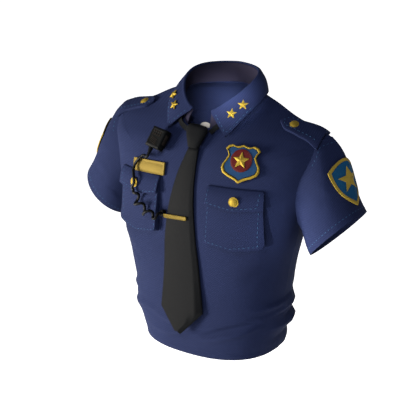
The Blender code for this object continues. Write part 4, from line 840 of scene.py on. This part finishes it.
def make_shirt():
    """Panels, sleeves, collar, pockets, flaps and straps, with their seams closed."""
    made = {}
    for part in ("front", "back"):
        made[part] = cloth_piece(part + "_panel", "shirt_" + part, NAVY_TWILL,
                                 creases=BODY_CREASES, unroll=True)
    for side in ("left", "right"):
        made["sleeve_" + side] = cloth_piece(
            "sleeve_" + side, "shirt_sleeve_" + side, NAVY_TWILL, levels=3,
            creases=SLEEVE_CREASES, mirror=side == "right")
    # The stand's cloth is darkened to paint the shade inside the neck.
    made["stand"] = cloth_piece("collar_stand", "collar_band", STAND_PAINTED_SHADE_TWILL)
    made["fall"] = cloth_piece("collar_fall", "collar_leaf", NAVY_TWILL)
    for side in ("left", "right"):
        for part, node, name in (("pocket_", "pocket_", "pocket_bag_"),
                                 ("flap_", "pocket_flap_", "pocket_flap_cloth_"),
                                 ("strap_", "epaulette_", "shoulder_strap_")):
            made[part + side] = cloth_piece(node + side, name + side, NAVY_TWILL)
        for part, thicker in THICKER.items():
            apply_modifier(made[part + side], "interlining", "DISPLACE", strength=thicker,
                           mid_level=0.0)
        for vertex in made["flap_" + side].data.vertices:
            share = min(1.0, max(0.0, (FLAP_TOP - vertex.co.z) / FLAP_HEIGHT))
            vertex.co.y -= FLAP_STANDS_OFF * share
    close_seam(made["back"], tree_of(made["front"]))
    body = tree_of(made["front"], made["back"])
    for part in ("sleeve_left", "sleeve_right", "stand"):
        close_seam(made[part], body)
    close_seam(made["fall"], tree_of(made["stand"]), FOLD_REACH)
    return made


def make_tie():
    """Blade, knot and neck band of the tie."""
    blade = cloth_piece("tie_blade", "tie_blade_cloth", TIE_WEAVE, degrees=BLADE_RIM_DEGREES)
    knot = cloth_piece("tie_knot", "tie_knot_cloth", TIE_WEAVE, degrees=KNOT_RIM_DEGREES)
    band = cloth_piece("tie_loop", "tie_neck_band", TIE_WEAVE)
    return blade, knot, band


def make_fittings():
    """Buttons, badge, plate, stars, patches and clasp."""
    for side in ("left", "right"):
        button("pocket_button_dome_" + side, "pocket_button_" + side, GILT, POCKET_BUTTON_MOVE)
        button("strap_button_dome_" + side, "epaulette_button_" + side, GILT)
        for height in ("low", "high"):
            dress("collar_star_" + height + "_" + side, GILT)
        border = from_solid("patch_border_" + side, "patch_edging_" + side)
        soften(border, 1, PATCH_RIM_DEGREES)
        settle(border, SATIN_GOLD, ["patch_border_" + side])
        dress("patch_field_" + side, PATCH_TWILL)
        dress("patch_star_" + side, SATIN_GOLD)
    button("collar_band_button", "top_button", CREAM_BUTTON, TOP_BUTTON_MOVE)
    rim = from_solid("badge_rim", "badge_rolled_rim")
    rounded(rim, *BADGE_RIM_ROUNDING)
    settle(rim, GILT, ["badge_rim"])
    dress("badge_field", BLUE_ENAMEL)
    dress("badge_disc", RED_ENAMEL)
    dress("badge_star", GILT)
    pressed_bar("name_bar", "name_plate", PLATE_STEPS, PLATE_ROUNDING)
    pressed_bar("tie_bar", "tie_clasp", CLASP_STEPS, CLASP_ROUNDING, CLASP_TALLER)


def make_microphone():
    """Shoulder microphone: moulded case, keys, slats, clip, strain relief and cord keeper."""
    place, width, tall, deep = seat("mic_body")
    place = place @ Matrix.Rotation(math.radians(MIC_LEANS), 4, "Z")
    case = box("mic_case", (0, 0, deep / 2), (width, tall, deep))
    pick(case)
    bpy.ops.mesh.bevel(offset=CASE_BEVEL, segments=3, affect="EDGES")
    pick(case, least=0.99)
    step_in(CASE_STEPS)
    rounded(case, *CASE_ROUNDING)
    case.matrix_world = place
    settle(case, BLACK_ABS, ["mic_body"])
    make_keys(place, deep - CASE_RECESS)
    make_slats(place, deep - CASE_RECESS)
    make_talk_key(place, width, deep)
    make_relief()
    for node, name in (("mic_clip", "mic_spring_clip"), ("cord_keeper", "cord_keeper_block")):
        block = from_solid(node, name)
        rounded(block, *SMALL_PART_ROUNDING)
        settle(block, BLACK_ABS, [node])


def copied(shape, name, place):
    """Copy of a modelled shape with its own mesh, at a place."""
    piece = bpy.data.objects.new(name, shape.data.copy())
    piece.data.name = name
    piece.matrix_world = place
    SCENE.collection.objects.link(piece)
    return piece


def make_keys(place, face):
    """Two rows of square rubber keys with dished tops."""
    shape = box("mic_key", (0, 0, 0), KEY_SIZE)
    pick(shape)
    step_in(KEY_STEPS)
    rounded(shape, *KEY_ROUNDING)
    for row in range(KEY_ROWS):
        for column in range(KEY_COLUMNS):
            middle = ((column - (KEY_COLUMNS - 1) / 2) * KEY_ACROSS - KEY_LEFT,
                      KEY_TOP - row * KEY_DOWN, face + KEY_PROUD)
            key = copied(shape, "mic_key_{}_{}".format(row, column),
                         place @ Matrix.Translation(middle))
            settle(key, KEY_RUBBER)
    bpy.data.objects.remove(shape)


def make_slats(place, face):
    """Slanting slats of the speaker grille."""
    shape = box("mic_slat", (0, 0, 0), SLAT_SIZE)
    pick(shape)
    step_in(SLAT_STEPS)
    rounded(shape, *SLAT_ROUNDING)
    for bar in range(SLATS):
        middle = (-SLAT_LEFT, -SLAT_TOP - bar * SLAT_DOWN, face + SLAT_PROUD)
        slat = copied(shape, "mic_slat_{}".format(bar),
                      place @ Matrix.Translation(middle) @ SLAT_TILT)
        settle(slat, KEY_RUBBER)
    bpy.data.objects.remove(shape)


def make_talk_key(place, width, deep):
    """Long press-to-talk key on the microphone's side."""
    key = box("mic_talk_key", (0, 0, 0), TALK_KEY_SIZE)
    pick(key, axis=0)
    step_in(TALK_KEY_STEPS, (1, 0, 0))
    rounded(key, *SMALL_PART_ROUNDING)
    middle = (width / 2 + TALK_KEY_PROUD, TALK_KEY_UP, deep * 0.5)
    key.matrix_world = place @ Matrix.Translation(middle)
    settle(key, KEY_RUBBER)


def make_relief():
    """Tapered, ribbed strain relief under the microphone."""
    points = solid_points("mic_strain_relief")
    start = Vector(CORD_EXIT)
    down = CORD_DOWN.normalized()
    along = (points - np.array(start)) @ np.array(down)
    top = start + down * float(along.min())
    deep = float(along.max() - along.min())
    off = points - np.array(start) - np.outer(along, np.array(down))
    piece = disc("mic_cord_relief", 24, float(np.linalg.norm(off, axis=1).max()),
                 RELIEF_COLLAR * deep)
    for inset, rise in RELIEF_STEPS:
        raised = (0, 0, max(rise, RELIEF_LEAST) * deep)
        bpy.ops.mesh.extrude_region_move(TRANSFORM_OT_translate={"value": raised})
        bpy.ops.transform.resize(value=(1 - inset, 1 - inset, 1), center_override=(0, 0, 0))
    bpy.ops.object.mode_set(mode="OBJECT")
    shade(40)
    right = Vector((0, 0, 1)).cross(down).normalized()
    piece.matrix_world = placed(right, down.cross(right), down, top)
    settle(piece, BLACK_ABS, ["mic_strain_relief"])


def dropped(tree, spots, way=(0, 1, 0), back=0.4):
    """Points where straight lines through the spots meet the cloth."""
    way = Vector(way)
    found = []
    for spot in spots:
        hit = tree.ray_cast(Vector(spot) - back * way, way)[0]
        if hit is not None:
            found.append(hit)
    return found


def leg(x, start, step, count):
    """Upright line of points on a pocket or flap."""
    return [(x, 0, start + step * i) for i in range(count)]


def point_line(inner, outer, low, tip, parts, indices):
    """Lower line of points from side to side, dipping to a tip at the middle."""
    return [(inner + (outer - inner) * i / parts, 0,
             low + (tip - low) * (1 - abs(2 * i / parts - 1))) for i in indices]


def make_stitching(made):
    """Rows of topstitching on pockets, flaps, straps, collar, armholes and cuffs."""
    pocket = (leg(POCKET_INNER, POCKET_TOP, -LEG_STEP, 11)
              + point_line(POCKET_INNER, POCKET_OUTER, POCKET_LOW, POCKET_TIP, 10, range(1, 10))
              + leg(POCKET_OUTER, POCKET_LOW, LEG_STEP, 11))
    flap = (leg(FLAP_INNER, FLAP_LEG_TOP, -LEG_STEP, 4)
            + point_line(FLAP_INNER, FLAP_OUTER, FLAP_LOW, FLAP_TIP, 8, range(9))
            + leg(FLAP_OUTER, FLAP_OUTER_LOW, LEG_STEP, 4))
    strap = ([(x, y - half, 0) for x, y, half in STRAP_ROWS]
             + [(x, y + half, 0) for x, y, half in STRAP_ROWS[::-1]])
    for side, sign in (("left", 1), ("right", -1)):
        for part, node, line, drop in (("pocket_", "pocket_", pocket, ()),
                                       ("flap_", "pocket_flap_", flap, ()),
                                       ("strap_", "epaulette_", strap, ((0, 0, -1), 0.1))):
            cloth = tree_of(made[part + side])
            spots = dropped(cloth, [(sign * x, y, z) for x, y, z in line], *drop)
            stitch_row(part + "stitching_" + side, [(spots, False)], cloth)
        stitch_row("sleeve_stitching_" + side,
                   [(armhole_line(side, sign), True), (cuff_line(sign), True)],
                   tree_of(made["sleeve_" + side]))
    stitch_row("collar_stitching", [(collar_line(), False)], tree_of(made["fall"]))


def armhole_line(side, sign):
    """Line round the sleeve head, a little way down the sleeve from its seam."""
    panels = tree_of(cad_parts["front_panel"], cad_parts["back_panel"])
    near = np.array([point for point in solid_points("sleeve_" + side)
                     if panels.find_nearest(Vector(point))[3] < AT_SEAM])
    middle = near.mean(0)
    angles = np.arctan2(near[:, 2] - middle[2], near[:, 1] - middle[1])
    order = np.argsort(angles)
    near, angles = near[order], angles[order]
    line = []
    for i in range(ARMHOLE_POINTS):
        goal = -math.pi + 2 * math.pi * (i + 0.5) / ARMHOLE_POINTS
        gap = np.abs((angles - goal + math.pi) % (2 * math.pi) - math.pi)
        close = near[np.argsort(gap)[:3]].mean(0)
        line.append(Vector(close) + Vector((sign * ARMHOLE_OUT, 0, -ARMHOLE_DOWN)))
    return line


def cuff_line(sign):
    """Line round the sleeve, above its hem."""
    axis = Vector((math.sin(CUFF_TILT), CUFF_TURNS_BACK, -math.cos(CUFF_TILT)))
    out = Vector((math.cos(CUFF_TILT), 0, math.sin(CUFF_TILT)))
    middle = CUFF_MIDDLE - CUFF_ABOVE_HEM * axis
    line = []
    for i in range(CUFF_POINTS):
        turn = 2 * math.pi * i / CUFF_POINTS
        spot = (middle + CUFF_RADIUS * math.cos(turn) * out
                + CUFF_RADIUS * math.sin(turn) * Vector((0, 1, 0)))
        line.append(Vector((sign * spot.x, spot.y, spot.z)))
    return line


def collar_line():
    """Line along the collar's front and lower edges, from one front round the back to the other."""
    front = Vector(COLLAR_EDGE[0][1:])
    half = [COLLAR_TOP.lerp(front, 0.12 + 0.74 * i / 4) + COLLAR_INWARD for i in range(5)]
    for turned, x, y, z in COLLAR_EDGE[1:]:
        angle = math.radians(turned)
        crest = Vector((CREST_ACROSS * math.sin(angle), -CREST_ALONG * math.cos(angle),
                        CREST_HEIGHT))
        spot = Vector((x, y, z))
        half.append(spot + COLLAR_ABOVE_EDGE * (crest - spot).normalized())
    return half + [Vector((-spot.x, spot.y, spot.z)) for spot in half[-2::-1]]


def make_light(name, kind, place, way, **settings):
    """Light at a place, shining in a direction."""
    data = bpy.data.lights.new(name, kind)
    for key, value in settings.items():
        setattr(data, key, value)
    light = bpy.data.objects.new(name, data)
    turned = way.to_track_quat("-Z", "Y").to_matrix().to_4x4()
    light.matrix_world = Matrix.Translation(place) @ turned
    SCENE.collection.objects.link(light)


def make_stage():
    """Plain pale floor and soft studio light."""
    clear_selection()
    bpy.ops.mesh.primitive_plane_add(size=FLOOR_SIZE, location=(0, 0, FLOOR_HEIGHT))
    floor = started("studio_floor")
    bpy.ops.object.mode_set(mode="OBJECT")
    floor.data.materials.append(PAPER)
    for name, place, aim, size, energy, colour in AREA_LIGHTS:
        make_light(name, "AREA", place, Vector(aim) - Vector(place), energy=energy, size=size,
                   color=linear(colour)[:3])
    for name, aim, way, energy, cone, blend in SPOTS:
        make_light(name, "SPOT", Vector(aim) - SPOT_AWAY * way, way, energy=energy,
                   spot_size=math.radians(cone), spot_blend=blend, shadow_soft_size=SPOT_RADIUS)
    world = bpy.data.worlds.new("studio")
    world.use_nodes = True
    sky = world.node_tree.nodes["Background"]
    sky.inputs["Color"].default_value = linear(SKY_COLOUR)
    sky.inputs["Strength"].default_value = SKY_STRENGTH
    SCENE.world = world
    SCENE.view_settings.view_transform = "Standard"


make_camera()
make_cord()
SHIRT = make_shirt()
TIE = make_tie()
make_fittings()
make_microphone()
make_stitching(SHIRT)
make_stage()
